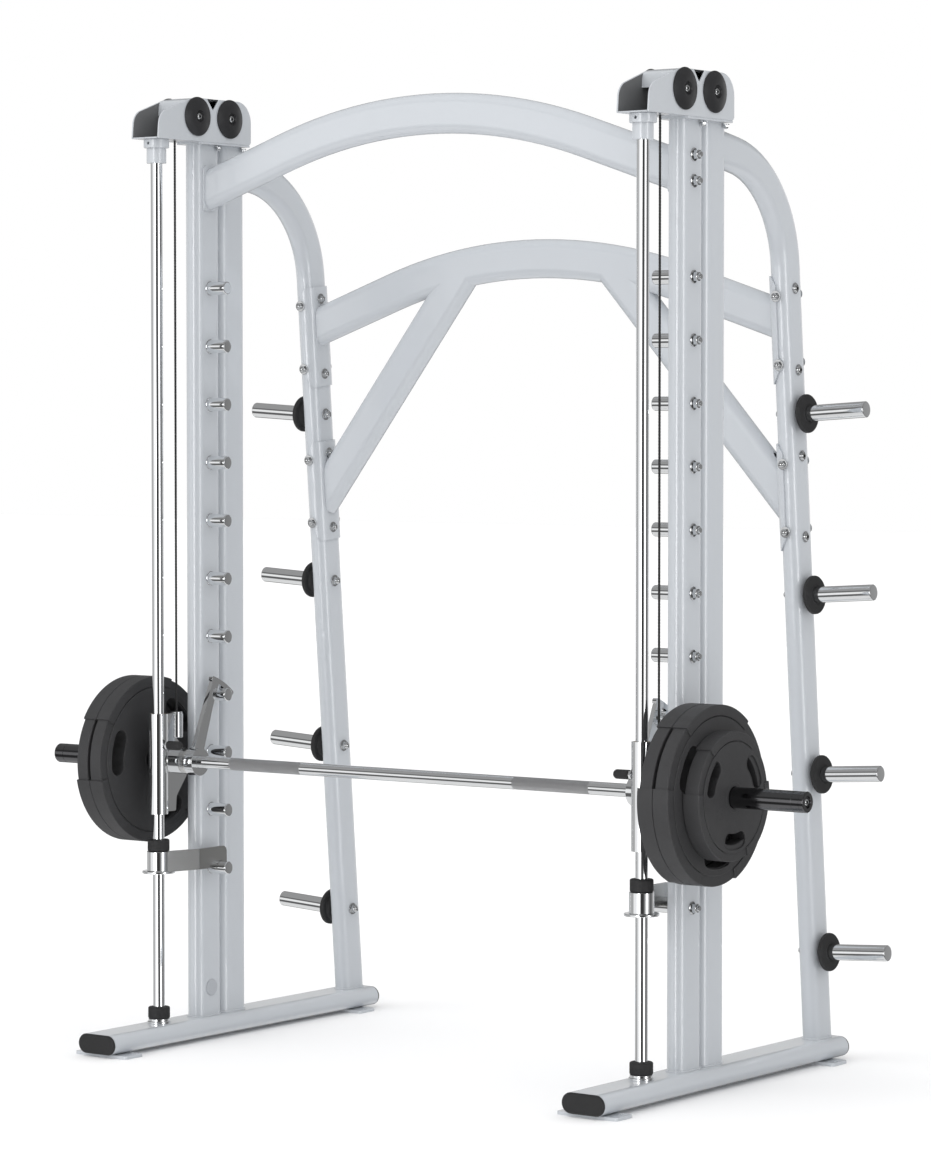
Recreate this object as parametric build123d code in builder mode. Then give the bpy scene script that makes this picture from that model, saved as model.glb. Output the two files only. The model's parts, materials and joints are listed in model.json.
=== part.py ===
from build123d import *
import os
from math import atan2, cos, degrees, radians, sin, tan

os.makedirs("parts", exist_ok=True)

# Smith machine. Millimetres, +Z up, X across the machine (along the bar), -Y to the
# lifter's open side where the guide rods stand, +Y to the braced back.
# Origin: centre of the footprint, on the floor.
SIDES = (("left", -1), ("right", 1))

# Frame layout
SIDE_X = 745.0            # centreline of each side frame from the middle
FRAME_DEPTH = 1102.0      # base rail with its end caps
FRONT_POST_Y = -125.0
REAR_POST_Y = -25.0
ROD_Y = -305.0

# Flat-oval tube stock
TUBE_WIDTH = 50.0
TUBE_WALL = 3.0
RAIL_SECTION = 120.0
POST_SECTION = 100.0
ARCH_SECTION = 100.0
LEG_SECTION = 90.0
FLAT = TUBE_WIDTH / 2
INNER_FLAT_X = SIDE_X - FLAT
OUTER_FLAT_X = SIDE_X + FLAT

# Heights
FOOT_THICKNESS = 8.0
RAIL_Z = FOOT_THICKNESS + TUBE_WIDTH / 2
RAIL_TOP = FOOT_THICKNESS + TUBE_WIDTH
HEAD_Z = 2323.0           # underside of the pulley housings
HEAD_TOP = 2434.0
TOP_PLATE = 5.0

# Rack pegs
PEG_FIRST_Z = 448.0
PEG_PITCH = 150.0
PEG_COUNT = 11
PEG_RADIUS = 17.0
PEG_REACH = 60.0
PEG_STUD = 8.0

# Bar and its load
BAR_Y = -227.0
BAR_Z = 730.0
BAR_RADIUS = 16.0
BAR_HALF = 1152.0
SLEEVE_RADIUS = 24.9
SLEEVE_START = 806.0
SLEEVE_FLANGE = 15.0
SLEEVE_CAP = 12.0
PLATE_BORE = 25.5
BIG_PLATE_RADIUS = 215.0
BIG_PLATE_THICKNESS = 43.0
SMALL_PLATE_RADIUS = 154.0
SMALL_PLATE_THICKNESS = 45.0

# Guide rods and what slides on them
ROD_RADIUS = 15.0
RUNNING = 0.05            # radial clearance of a bearing on its shaft
CARRIAGE_BOTTOM = 598.0
CARRIAGE_TOP = 856.0
CARRIAGE_RADIUS = 25.0
BEARING_RADIUS = 20.0
BARREL_RADIUS = 33.0

# Cable run
CABLE_RADIUS = 3.0
PULLEY_Z = 2386.0
FRONT_PULLEY_Y = -197.0
REAR_PULLEY_Y = -68.0
CABLE_BEND = 36.0         # radius of the cable's centreline on a pulley
FRONT_CABLE_Y = FRONT_PULLEY_Y - CABLE_BEND
REAR_CABLE_Y = REAR_PULLEY_Y + CABLE_BEND
AXLE_RADIUS = 6.0
COUNTERWEIGHT_TOP = 2200.0
COUNTERWEIGHT_LENGTH = 560.0

# Back leg: a bent tube from the rear post down to the back of the rail
LEG_KNEE = (307.0, 2210.0)
LEG_FOOT_Y = 490.6
LEG_BEND = 285.0
LEG_TOP_DROP = 9.5        # degrees below level where it leaves the post
LEG_LEAN = degrees(atan2(LEG_FOOT_Y - LEG_KNEE[0], LEG_KNEE[1] - RAIL_TOP))

# Arches
ARCH_SLOPE = 18.8
ARCH_BEND = 1440.0
FRONT_ARCH_APEX = 2366.0
REAR_ARCH_APEX = 2022.0
ARCH_PLATE = 6.0
ARCH_BOLT_Z = (2174.0, 2236.0)

# Rear brace and the saddle plates that carry arch and brace
SADDLE_WALL = 5.0
SADDLE_BOLT = 6.0         # bolt radius
SADDLE_HEIGHT = 266.0
SADDLE_TAPER = 32.0       # how much lower the cheeks end than the web
SADDLE_Z = (1832.0, 1420.0)
SADDLE_CROSS_BOLT = 100.0   # from the saddle's middle to a bolt across the machine
SADDLE_LONG_BOLT = 84.0     # from the saddle's middle to a bolt front to back
BRACE_FOOT_Z = 1420.0
BRACE_ANGLE = 50.0
BRACE_RUN = 520.0         # how far it reaches towards the middle before coping

# Storage horns
HORN_PITCH = 450.0
HORN_FIRST_Z = 278.0
HORN_COUNT = 4
HORN_RADIUS = 20.0
HORN_ROOT_RADIUS = 18.5   # the turned-down root that the rubber disc sits on
HORN_ROOT = 28.0          # from the leg's face to the shoulder of the full radius
HORN_LENGTH = 190.0
HORN_EDGE = 2.0
HORN_TILT = 3.5
DISC_RADIUS = 48.0

# Safety stops
STOP_Z = PEG_FIRST_Z + 1.5
STOP_ARM_X = 690.0
STOP_ARM_HEIGHT = 54.0


def leg_y(z):
    """Y of the back leg's centreline at height z, on its straight stretch."""
    return LEG_FOOT_Y - (z - RAIL_TOP) * tan(radians(LEG_LEAN))


def along_x(sx, x, y, z):
    """Plane at a point of one side, its normal pointing away from the middle."""
    return Plane(origin=(sx * x, y, z), x_dir=(0, 1, 0), z_dir=(sx, 0, 0))


def flat_oval_along(path, plane_normal, section, wall=TUBE_WALL):
    """Flat-oval tube along a planar path, long side in the path's plane; wall 0 is solid."""
    start = Plane(origin=path @ 0, x_dir=plane_normal.cross(path % 0), z_dir=path % 0)
    with BuildPart() as tube:
        with BuildSketch(start):
            SlotOverall(section, TUBE_WIDTH)
        sweep(path=path)
        if wall:
            with BuildSketch(start):
                SlotOverall(section - 2 * wall, TUBE_WIDTH - 2 * wall)
            sweep(path=path, mode=Mode.SUBTRACT)
    return tube.part


def through_bolt(near_face, grip, shank):
    """Bolt through `grip` behind near_face, with a washer and a hex end outside each face."""
    washer = 3.0
    hex_height = 1.3 * shank
    tip = 4.0
    end = washer + hex_height + tip
    with BuildPart() as bolt:
        with BuildSketch(near_face.offset(-grip - end)):
            Circle(shank)
        extrude(amount=grip + 2 * end)
        for depth, way in ((0.0, 1), (-grip, -1)):
            with BuildSketch(near_face.offset(depth)):
                Circle(2.0 * shank)
            extrude(amount=way * washer)
            with BuildSketch(near_face.offset(depth + way * washer)):
                RegularPolygon(1.65 * shank, 6)
            extrude(amount=way * hex_height)
    return bolt.part


def flange_nut(face, bore):
    """Flanged nut seated on a face, open at both ends."""
    with BuildPart() as nut:
        with BuildSketch(face):
            Circle(2.0 * bore)
            Circle(bore, mode=Mode.SUBTRACT)
        extrude(amount=4.0)
        with BuildSketch(face.offset(4.0)):
            RegularPolygon(1.45 * bore, 6)
            Circle(bore, mode=Mode.SUBTRACT)
        extrude(amount=12.0)
    return nut.part


def ring(plane, outer, inner, height, edge=1.0):
    """Plain collar standing on a plane, its outer rims broken by `edge`."""
    with BuildPart() as collar:
        with BuildSketch(plane):
            Circle(outer)
        extrude(amount=height)
        chamfer(collar.edges().filter_by(GeomType.CIRCLE), edge)
        with BuildSketch(plane):
            Circle(inner)
        extrude(amount=height, mode=Mode.SUBTRACT)
    return collar.part


# ---------------------------------------------------------------- base
FRONT_END = -FRAME_DEPTH / 2
REAR_END = FRAME_DEPTH / 2
CAP_FLANGE = 8.0
FOOT_Y = (-499.0, 463.0)
FOOT_SIZE = (170.0, 68.0)
ANCHOR_HOLE = 5.5
ANCHOR_SPACING = 146.0

with BuildPart() as base_rails:
    with BuildSketch(Plane.XZ.offset(-(REAR_END - CAP_FLANGE))):
        with Locations((-SIDE_X, RAIL_Z), (SIDE_X, RAIL_Z)):
            SlotOverall(RAIL_SECTION, TUBE_WIDTH)
            SlotOverall(RAIL_SECTION - 8, TUBE_WIDTH - 8, mode=Mode.SUBTRACT)
    extrude(amount=FRAME_DEPTH - 2 * CAP_FLANGE)
base_rails.part.label = "base_rails"
export_step(base_rails.part, "parts/base_rails.step")

with BuildPart() as rail_end_caps:
    for side, sx in SIDES:
        for end, way in ((FRONT_END, -1), (REAR_END, 1)):
            lip = Plane(origin=(sx * SIDE_X, end - way * CAP_FLANGE, RAIL_Z), x_dir=(1, 0, 0),
                        z_dir=(0, way, 0))
            with BuildSketch(lip):
                SlotOverall(RAIL_SECTION, TUBE_WIDTH)
            extrude(amount=CAP_FLANGE)
            with BuildSketch(lip):
                SlotOverall(RAIL_SECTION - 8.4, TUBE_WIDTH - 8.4)
            extrude(amount=-22.0)
    chamfer(rail_end_caps.faces().group_by(Axis.Y)[0].edges(), 4.0)
    chamfer(rail_end_caps.faces().group_by(Axis.Y)[-1].edges(), 4.0)
rail_end_caps.part.label = "rail_end_caps"
export_step(rail_end_caps.part, "parts/rail_end_caps.step")

with BuildPart() as foot_plates:
    with BuildSketch():
        for side, sx in SIDES:
            with Locations(*[(sx * SIDE_X, y) for y in FOOT_Y]):
                RectangleRounded(*FOOT_SIZE, 8)
        for side, sx in SIDES:
            for y in FOOT_Y:
                with Locations((sx * SIDE_X, y)):
                    with GridLocations(ANCHOR_SPACING, 1, 2, 1):
                        Circle(ANCHOR_HOLE, mode=Mode.SUBTRACT)
    extrude(amount=FOOT_THICKNESS)
foot_plates.part.label = "foot_plates"
export_step(foot_plates.part, "parts/foot_plates.step")

# ---------------------------------------------------------------- posts
PLUG_Z = 132.0
PLUG_RADIUS = 21.5
PEG_Z = [PEG_FIRST_Z + k * PEG_PITCH for k in range(PEG_COUNT)]



def posts(y):
    """The two upright tubes that stand at one Y."""
    with BuildPart() as tubes:
        with BuildSketch(Plane.XY.offset(RAIL_TOP)):
            with Locations((-SIDE_X, y), (SIDE_X, y)):
                SlotOverall(POST_SECTION, TUBE_WIDTH, rotation=90)
                SlotOverall(POST_SECTION - 2 * TUBE_WALL, TUBE_WIDTH - 2 * TUBE_WALL,
                            rotation=90, mode=Mode.SUBTRACT)
        extrude(amount=HEAD_Z - TOP_PLATE - RAIL_TOP)
    return tubes.part


with BuildPart() as front_posts:
    add(posts(FRONT_POST_Y))
    with BuildSketch(Plane.YZ):
        with Locations(*[(FRONT_POST_Y, z) for z in PEG_Z + list(ARCH_BOLT_Z)]):
            Circle(PEG_STUD)
    extrude(amount=2 * SIDE_X, both=True, mode=Mode.SUBTRACT)
    with BuildSketch(Plane.YZ):
        with Locations((FRONT_POST_Y, PLUG_Z)):
            Circle(PLUG_RADIUS - 4)
    extrude(amount=SIDE_X, both=True, mode=Mode.SUBTRACT)
front_posts.part.label = "front_posts"
export_step(front_posts.part, "parts/front_posts.step")

with BuildPart() as rear_posts:
    add(posts(REAR_POST_Y))
rear_posts.part.label = "rear_posts"
export_step(rear_posts.part, "parts/rear_posts.step")

with BuildPart() as hole_plugs:
    for side, sx in SIDES:
        with BuildSketch(along_x(-sx, -INNER_FLAT_X, FRONT_POST_Y, PLUG_Z)):
            Circle(PLUG_RADIUS)
        extrude(amount=3.0)
        with BuildSketch(along_x(-sx, -INNER_FLAT_X, FRONT_POST_Y, PLUG_Z)):
            Circle(PLUG_RADIUS - 4)
        extrude(amount=-10.0)
    chamfer(hole_plugs.faces().filter_by(Axis.X).group_by(SortBy.AREA)[-1].edges(), 1.2)
hole_plugs.part.label = "hole_plugs"
export_step(hole_plugs.part, "parts/hole_plugs.step")

# ---------------------------------------------------------------- rack pegs
with BuildPart() as rack_pegs:
    for side, sx in SIDES:
        for z in PEG_Z:
            with BuildSketch(along_x(-sx, -INNER_FLAT_X, FRONT_POST_Y, z)):
                Circle(PEG_RADIUS)
            extrude(amount=PEG_REACH)
            with BuildSketch(along_x(sx, INNER_FLAT_X, FRONT_POST_Y, z)):
                Circle(PEG_STUD)
            extrude(amount=TUBE_WIDTH + 22)
    chamfer(rack_pegs.faces().filter_by(Axis.X).group_by(SortBy.AREA)[-1].edges(), 3.0)
rack_pegs.part.label = "rack_pegs"
export_step(rack_pegs.part, "parts/rack_pegs.step")

with BuildPart() as peg_nuts:
    for side, sx in SIDES:
        for z in PEG_Z:
            add(flange_nut(along_x(sx, OUTER_FLAT_X, FRONT_POST_Y, z), PEG_STUD))
peg_nuts.part.label = "peg_nuts"
export_step(peg_nuts.part, "parts/peg_nuts.step")

# ---------------------------------------------------------------- back legs
HORN_Z = [HORN_FIRST_Z + k * HORN_PITCH * cos(radians(LEG_LEAN)) for k in range(HORN_COUNT)]


def leg_direction_plane(z):
    """Plane across the leg at height z, its normal running down the leaning tube to the back."""
    lean = radians(LEG_LEAN)
    return Plane(origin=(0, leg_y(z), z), x_dir=(1, 0, 0), z_dir=(0, cos(lean), sin(lean)))


with BuildPart() as back_legs:
    for side, sx in SIDES:
        leg_plane = Plane.YZ.offset(sx * SIDE_X)
        slope = tan(radians(LEG_TOP_DROP))
        with BuildLine(leg_plane) as leg_path:
            FilletPolyline((-10, LEG_KNEE[1] + (LEG_KNEE[0] + 10) * slope), LEG_KNEE,
                           (leg_y(0), 0), radius=LEG_BEND)
        add(flat_oval_along(leg_path.wire(), leg_plane.z_dir, LEG_SECTION))
    with BuildSketch(Plane.XY):
        with Locations((-SIDE_X, REAR_POST_Y), (SIDE_X, REAR_POST_Y)):
            SlotOverall(POST_SECTION, TUBE_WIDTH, rotation=90)
    extrude(amount=HEAD_Z, mode=Mode.SUBTRACT)
    split(bisect_by=Plane.XY.offset(RAIL_TOP), keep=Keep.TOP)
    with BuildSketch(Plane.YZ):
        with Locations(*[(leg_y(z), z) for z in HORN_Z]):
            Circle(PEG_STUD)
        for middle in SADDLE_Z:
            for z in (middle - SADDLE_CROSS_BOLT, middle + SADDLE_CROSS_BOLT):
                with Locations((leg_y(z), z)):
                    Circle(SADDLE_BOLT)
    extrude(amount=2 * SIDE_X, both=True, mode=Mode.SUBTRACT)
    for middle in SADDLE_Z:
        for z in (middle - SADDLE_LONG_BOLT, middle + SADDLE_LONG_BOLT):
            with BuildSketch(leg_direction_plane(z)):
                with Locations((-SIDE_X, 0), (SIDE_X, 0)):
                    Circle(SADDLE_BOLT)
            extrude(amount=LEG_SECTION, both=True, mode=Mode.SUBTRACT)
back_legs.part.label = "back_legs"
export_step(back_legs.part, "parts/back_legs.step")

# ---------------------------------------------------------------- saddle plates and bolts
with BuildPart() as saddle_plates:
    for side, sx in SIDES:
        for middle in SADDLE_Z:
            lean = radians(LEG_LEAN)
            across = Plane(origin=(sx * SIDE_X, leg_y(middle), middle), x_dir=(0, cos(lean), sin(lean)),
                           z_dir=(0, -sin(lean), cos(lean)))
            with BuildSketch(across.offset(-SADDLE_HEIGHT / 2)):
                SlotOverall(LEG_SECTION + 2 * SADDLE_WALL, TUBE_WIDTH + 2 * SADDLE_WALL)
                SlotOverall(LEG_SECTION, TUBE_WIDTH, mode=Mode.SUBTRACT)
                with Locations((0, -sx * (FLAT - 1))):
                    Rectangle(2 * LEG_SECTION, TUBE_WIDTH, mode=Mode.SUBTRACT)
            extrude(amount=SADDLE_HEIGHT)
            with BuildSketch(Plane(origin=(0, leg_y(middle), middle), x_dir=(1, 0, 0), z_dir=(0, -1, 0))):
                for way in (-1, 1):
                    with BuildLine():
                        Polyline((sx * (INNER_FLAT_X + 1), way * (SADDLE_HEIGHT / 2 + 9)),
                                 (sx * (SIDE_X + 2), way * (SADDLE_HEIGHT / 2 + 9)),
                                 (sx * (SIDE_X + 2), way * (SADDLE_HEIGHT / 2 - SADDLE_TAPER)), close=True)
                    make_face()
            extrude(amount=2 * LEG_SECTION, both=True, mode=Mode.SUBTRACT)
            for step in (-SADDLE_CROSS_BOLT, SADDLE_CROSS_BOLT):
                with BuildSketch(Plane.YZ.offset(sx * SIDE_X)):
                    with Locations((leg_y(middle + step), middle + step)):
                        Circle(SADDLE_BOLT)
                extrude(amount=TUBE_WIDTH, both=True, mode=Mode.SUBTRACT)
            for step in (-SADDLE_LONG_BOLT, SADDLE_LONG_BOLT):
                with BuildSketch(leg_direction_plane(middle + step)):
                    with Locations((sx * SIDE_X, 0)):
                        Circle(SADDLE_BOLT)
                extrude(amount=LEG_SECTION, both=True, mode=Mode.SUBTRACT)
saddle_plates.part.label = "saddle_plates"
export_step(saddle_plates.part, "parts/saddle_plates.step")

with BuildPart() as saddle_bolts:
    for side, sx in SIDES:
        for middle in SADDLE_Z:
            for step in (-SADDLE_CROSS_BOLT, SADDLE_CROSS_BOLT):
                z = middle + step
                outer_face = along_x(sx, OUTER_FLAT_X, leg_y(z), z)
                add(through_bolt(outer_face, TUBE_WIDTH + SADDLE_WALL, SADDLE_BOLT))
            for step in (-SADDLE_LONG_BOLT, SADDLE_LONG_BOLT):
                back = leg_direction_plane(middle + step).offset(LEG_SECTION / 2 + SADDLE_WALL)
                back_face = Plane(origin=back.origin + Vector(sx * SIDE_X, 0, 0),
                                  x_dir=back.x_dir, z_dir=back.z_dir)
                add(through_bolt(back_face, LEG_SECTION + 2 * SADDLE_WALL, SADDLE_BOLT))
saddle_bolts.part.label = "saddle_bolts"
export_step(saddle_bolts.part, "parts/saddle_bolts.step")

# ---------------------------------------------------------------- arches and brace
ARCH_END_X = INNER_FLAT_X - ARCH_PLATE
CORNER_RISE = ARCH_BEND * (1 / cos(radians(ARCH_SLOPE)) - 1)
ARCH_FALL = tan(radians(ARCH_SLOPE))


def arch_path(plane, apex):
    """Centreline of an arch: two straight ends and one large bend, apex at local height `apex`."""
    corner = apex + CORNER_RISE
    with BuildLine(plane) as line:
        FilletPolyline((-SIDE_X, corner - SIDE_X * ARCH_FALL), (0, corner),
                       (SIDE_X, corner - SIDE_X * ARCH_FALL), radius=ARCH_BEND)
    return line.wire()


front_plane = Plane(origin=(0, FRONT_POST_Y, 0), x_dir=(1, 0, 0), z_dir=(0, -1, 0))
front_arch_tube = flat_oval_along(arch_path(front_plane, FRONT_ARCH_APEX), front_plane.z_dir,
                                  ARCH_SECTION)
with BuildPart() as front_arch:
    add(front_arch_tube)
    for sx in (-1, 1):
        split(bisect_by=Plane(origin=(sx * ARCH_END_X, 0, 0), z_dir=(sx, 0, 0)), keep=Keep.BOTTOM)
    for sx in (-1, 1):
        with BuildSketch(along_x(sx, ARCH_END_X, FRONT_POST_Y, sum(ARCH_BOLT_Z) / 2)):
            RectangleRounded(56, 116, 8)
            with GridLocations(1, ARCH_BOLT_Z[1] - ARCH_BOLT_Z[0], 1, 2):
                Circle(PEG_STUD, mode=Mode.SUBTRACT)
        extrude(amount=ARCH_PLATE)
front_arch.part.label = "front_arch"
export_step(front_arch.part, "parts/front_arch.step")

with BuildPart() as front_arch_bolts:
    for side, sx in SIDES:
        for z in ARCH_BOLT_Z:
            add(through_bolt(along_x(sx, OUTER_FLAT_X, FRONT_POST_Y, z), TUBE_WIDTH + ARCH_PLATE,
                             PEG_STUD))
front_arch_bolts.part.label = "front_arch_bolts"
export_step(front_arch_bolts.part, "parts/front_arch_bolts.step")

# The rear arch and brace lie in the plane that the two leaning legs make.
lean = radians(LEG_LEAN)
rear_plane = Plane(origin=(0, leg_y(0), 0), x_dir=(1, 0, 0), z_dir=(0, -cos(lean), -sin(lean)))
rear_end_x = INNER_FLAT_X - SADDLE_WALL
rear_arch_line = arch_path(rear_plane, REAR_ARCH_APEX / cos(lean))
rear_arch_tube = flat_oval_along(rear_arch_line, rear_plane.z_dir, ARCH_SECTION)
with BuildPart() as rear_arch:
    add(rear_arch_tube)
    for sx in (-1, 1):
        split(bisect_by=Plane(origin=(sx * rear_end_x, 0, 0), z_dir=(sx, 0, 0)), keep=Keep.BOTTOM)
    for sx in (-1, 1):
        for z in (SADDLE_Z[0] + SADDLE_CROSS_BOLT, SADDLE_Z[0] - SADDLE_CROSS_BOLT):
            with BuildSketch(along_x(sx, rear_end_x, leg_y(z), z)):
                Circle(13.0)
            extrude(amount=-24.0, mode=Mode.SUBTRACT)
rear_arch.part.label = "rear_arch"
export_step(rear_arch.part, "parts/rear_arch.step")

rear_arch_solid = flat_oval_along(rear_arch_line, rear_plane.z_dir, ARCH_SECTION, wall=0)
with BuildPart() as rear_braces:
    for side, sx in SIDES:
        foot_rise = (BRACE_FOOT_Z - FLAT * tan(radians(BRACE_ANGLE))) / cos(lean)
        with BuildLine(rear_plane) as brace_path:
            Line((sx * SIDE_X, foot_rise),
                 (sx * (SIDE_X - BRACE_RUN), foot_rise + BRACE_RUN * tan(radians(BRACE_ANGLE))))
        add(flat_oval_along(brace_path.wire(), rear_plane.z_dir, ARCH_SECTION))
    for sx in (-1, 1):
        split(bisect_by=Plane(origin=(sx * rear_end_x, 0, 0), z_dir=(sx, 0, 0)), keep=Keep.BOTTOM)
        with BuildSketch(along_x(sx, rear_end_x, leg_y(SADDLE_Z[1]), SADDLE_Z[1])):
            with GridLocations(1, 2 * SADDLE_CROSS_BOLT, 1, 2):
                Circle(18.0)
        extrude(amount=-24.0, mode=Mode.SUBTRACT)
    add(rear_arch_solid, mode=Mode.SUBTRACT)
rear_braces.part.label = "rear_braces"
export_step(rear_braces.part, "parts/rear_braces.step")

# ---------------------------------------------------------------- storage horns
DISC_SEAT = 15.0          # from the leg's face to the back of the rubber disc


def horn_plane(sx, z):
    """Plane on the leg's outer face, tipped so that its normal rises along the horn."""
    tilt = radians(HORN_TILT)
    return Plane(origin=(sx * OUTER_FLAT_X, leg_y(z), z), x_dir=(0, 1, 0),
                 z_dir=(sx * cos(tilt), 0, sin(tilt)))


with BuildPart() as storage_horns:
    for side, sx in SIDES:
        for z in HORN_Z:
            with BuildSketch(horn_plane(sx, z).offset(-4)):
                Circle(HORN_ROOT_RADIUS)
            extrude(amount=HORN_ROOT + 4)
            with BuildSketch(horn_plane(sx, z).offset(HORN_ROOT)):
                Circle(HORN_RADIUS)
            extrude(amount=HORN_LENGTH - HORN_EDGE - HORN_ROOT)
            with BuildSketch(horn_plane(sx, z).offset(HORN_LENGTH - HORN_EDGE)):
                Circle(HORN_RADIUS)
            extrude(amount=HORN_EDGE, taper=45)
    for side, sx in SIDES:
        with BuildSketch(Plane.YZ.offset(sx * SIDE_X)):
            Rectangle(4 * SIDE_X, 8 * SIDE_X)
        extrude(amount=FLAT, both=True, mode=Mode.SUBTRACT)
    for side, sx in SIDES:
        for z in HORN_Z:
            with BuildSketch(along_x(-sx, -OUTER_FLAT_X - 6, leg_y(z), z)):
                Circle(PEG_STUD)
            extrude(amount=TUBE_WIDTH + 28)
storage_horns.part.label = "storage_horns"
export_step(storage_horns.part, "parts/storage_horns.step")

with BuildPart() as horn_discs:
    for side, sx in SIDES:
        for z in HORN_Z:
            seat = horn_plane(sx, z)
            with BuildSketch(seat.offset(3)):
                Circle(HORN_RADIUS + 8)
            extrude(amount=DISC_SEAT - 3, taper=-35)
            with BuildSketch(seat.offset(DISC_SEAT - 0.5)):
                Circle(DISC_RADIUS)
            extrude(amount=13.0)
    chamfer(horn_discs.edges().filter_by(GeomType.CIRCLE).group_by(Edge.radius)[-1], 3.0)
    for side, sx in SIDES:
        for z in HORN_Z:
            with BuildSketch(horn_plane(sx, z)):
                Circle(HORN_ROOT_RADIUS)
            extrude(amount=40.0, mode=Mode.SUBTRACT)
horn_discs.part.label = "horn_discs"
export_step(horn_discs.part, "parts/horn_discs.step")

with BuildPart() as horn_nuts:
    for side, sx in SIDES:
        for z in HORN_Z:
            add(flange_nut(along_x(-sx, -INNER_FLAT_X, leg_y(z), z), PEG_STUD))
horn_nuts.part.label = "horn_nuts"
export_step(horn_nuts.part, "parts/horn_nuts.step")

# ---------------------------------------------------------------- pulley housings
HOUSING_HALF = 45.0
SHEET = 4.0
HOUSING_FRONT = -351.0
HOUSING_REAR = 21.0
COVER_FRONT = -246.0
CAP_RADIUS = 50.0
NOTCH_Y = (FRONT_PULLEY_Y + REAR_PULLEY_Y) / 2
HEAD_BOLTS = ((-33, -98), (33, -98), (-33, 2), (33, 2))
HEAD_BOLT_RADIUS = 4.0
PULLEYS = (("front", FRONT_PULLEY_Y), ("rear", REAR_PULLEY_Y))



def pulley_housing(sx):
    """Bent sheet housing of one side: two cheeks, a floor, a back and a set-back cover."""
    middle_plane = Plane.YZ.offset(sx * SIDE_X)
    inside = HOUSING_HALF - SHEET
    with BuildPart() as housing:
        with BuildSketch(middle_plane) as outline:
            with BuildLine():
                FilletPolyline((HOUSING_FRONT, HEAD_Z), (-345, 2388), (-215, HEAD_TOP),
                               (HOUSING_REAR, HEAD_TOP), (HOUSING_REAR, HEAD_Z),
                               radius=[3, 42, 150, 62, 10], close=True)
            make_face()
        extrude(amount=HOUSING_HALF, both=True)
        with BuildSketch(middle_plane):
            add(offset(outline.sketch_local, amount=-SHEET, mode=Mode.PRIVATE))
        extrude(amount=inside, both=True, mode=Mode.SUBTRACT)
        with BuildSketch(middle_plane):
            with Locations(((HOUSING_FRONT + COVER_FRONT) / 2 - 10, (HEAD_Z + SHEET + HEAD_TOP) / 2 + 5)):
                Rectangle(COVER_FRONT - HOUSING_FRONT + 20, HEAD_TOP - HEAD_Z - SHEET + 10)
        extrude(amount=inside, both=True, mode=Mode.SUBTRACT)
        with BuildSketch(middle_plane):
            with Locations((COVER_FRONT + SHEET / 2, 2407)):
                Rectangle(SHEET, 34)
        extrude(amount=inside, both=True)
        with BuildSketch(middle_plane):
            with Locations(*[(y, PULLEY_Z) for _, y in PULLEYS]):
                Circle(AXLE_RADIUS)
        extrude(amount=2 * HOUSING_HALF, both=True, mode=Mode.SUBTRACT)
        for face in (-HOUSING_HALF, inside):
            with BuildSketch(Plane.YZ.offset(sx * SIDE_X + face)):
                with BuildLine():
                    Polyline((NOTCH_Y - 24, HEAD_TOP + 1), (NOTCH_Y, HEAD_TOP - 29),
                             (NOTCH_Y + 24, HEAD_TOP + 1), close=True)
                make_face()
            extrude(amount=SHEET, mode=Mode.SUBTRACT)
        with BuildSketch(Plane.XY.offset(HEAD_Z)):
            with Locations((sx * SIDE_X, FRONT_CABLE_Y), (sx * SIDE_X, REAR_CABLE_Y)):
                Circle(9.0)
            with Locations(*[(sx * SIDE_X + x, y) for x, y in HEAD_BOLTS]):
                Circle(HEAD_BOLT_RADIUS)
        extrude(amount=SHEET, mode=Mode.SUBTRACT)
    return housing.part


with BuildPart() as pulley_housings:
    add(pulley_housing(-1))
    add(pulley_housing(1))
pulley_housings.part.label = "pulley_housings"
export_step(pulley_housings.part, "parts/pulley_housings.step")

with BuildPart() as post_top_plates:
    for side, sx in SIDES:
        with BuildSketch(Plane.XY.offset(HEAD_Z - TOP_PLATE)):
            with Locations((sx * SIDE_X, -78)):
                RectangleRounded(86, 204, 10)
            with Locations((sx * SIDE_X, REAR_CABLE_Y)):
                Circle(9.0, mode=Mode.SUBTRACT)
            with Locations(*[(sx * SIDE_X + x, y) for x, y in HEAD_BOLTS]):
                Circle(5.0, mode=Mode.SUBTRACT)
        extrude(amount=TOP_PLATE)
post_top_plates.part.label = "post_top_plates"
export_step(post_top_plates.part, "parts/post_top_plates.step")

with BuildPart() as head_bolts:
    for side, sx in SIDES:
        for x, y in HEAD_BOLTS:
            top = Plane(origin=(sx * SIDE_X + x, y, HEAD_Z + SHEET), x_dir=(1, 0, 0), z_dir=(0, 0, 1))
            with BuildSketch(top.offset(-SHEET - TOP_PLATE - 12)):
                Circle(HEAD_BOLT_RADIUS)
            extrude(amount=SHEET + TOP_PLATE + 18)
            for height, way in ((0.0, 1), (-SHEET - TOP_PLATE, -1)):
                with BuildSketch(top.offset(height)):
                    RegularPolygon(7.5, 6)
                extrude(amount=way * 6.0)
head_bolts.part.label = "head_bolts"
export_step(head_bolts.part, "parts/head_bolts.step")

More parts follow.
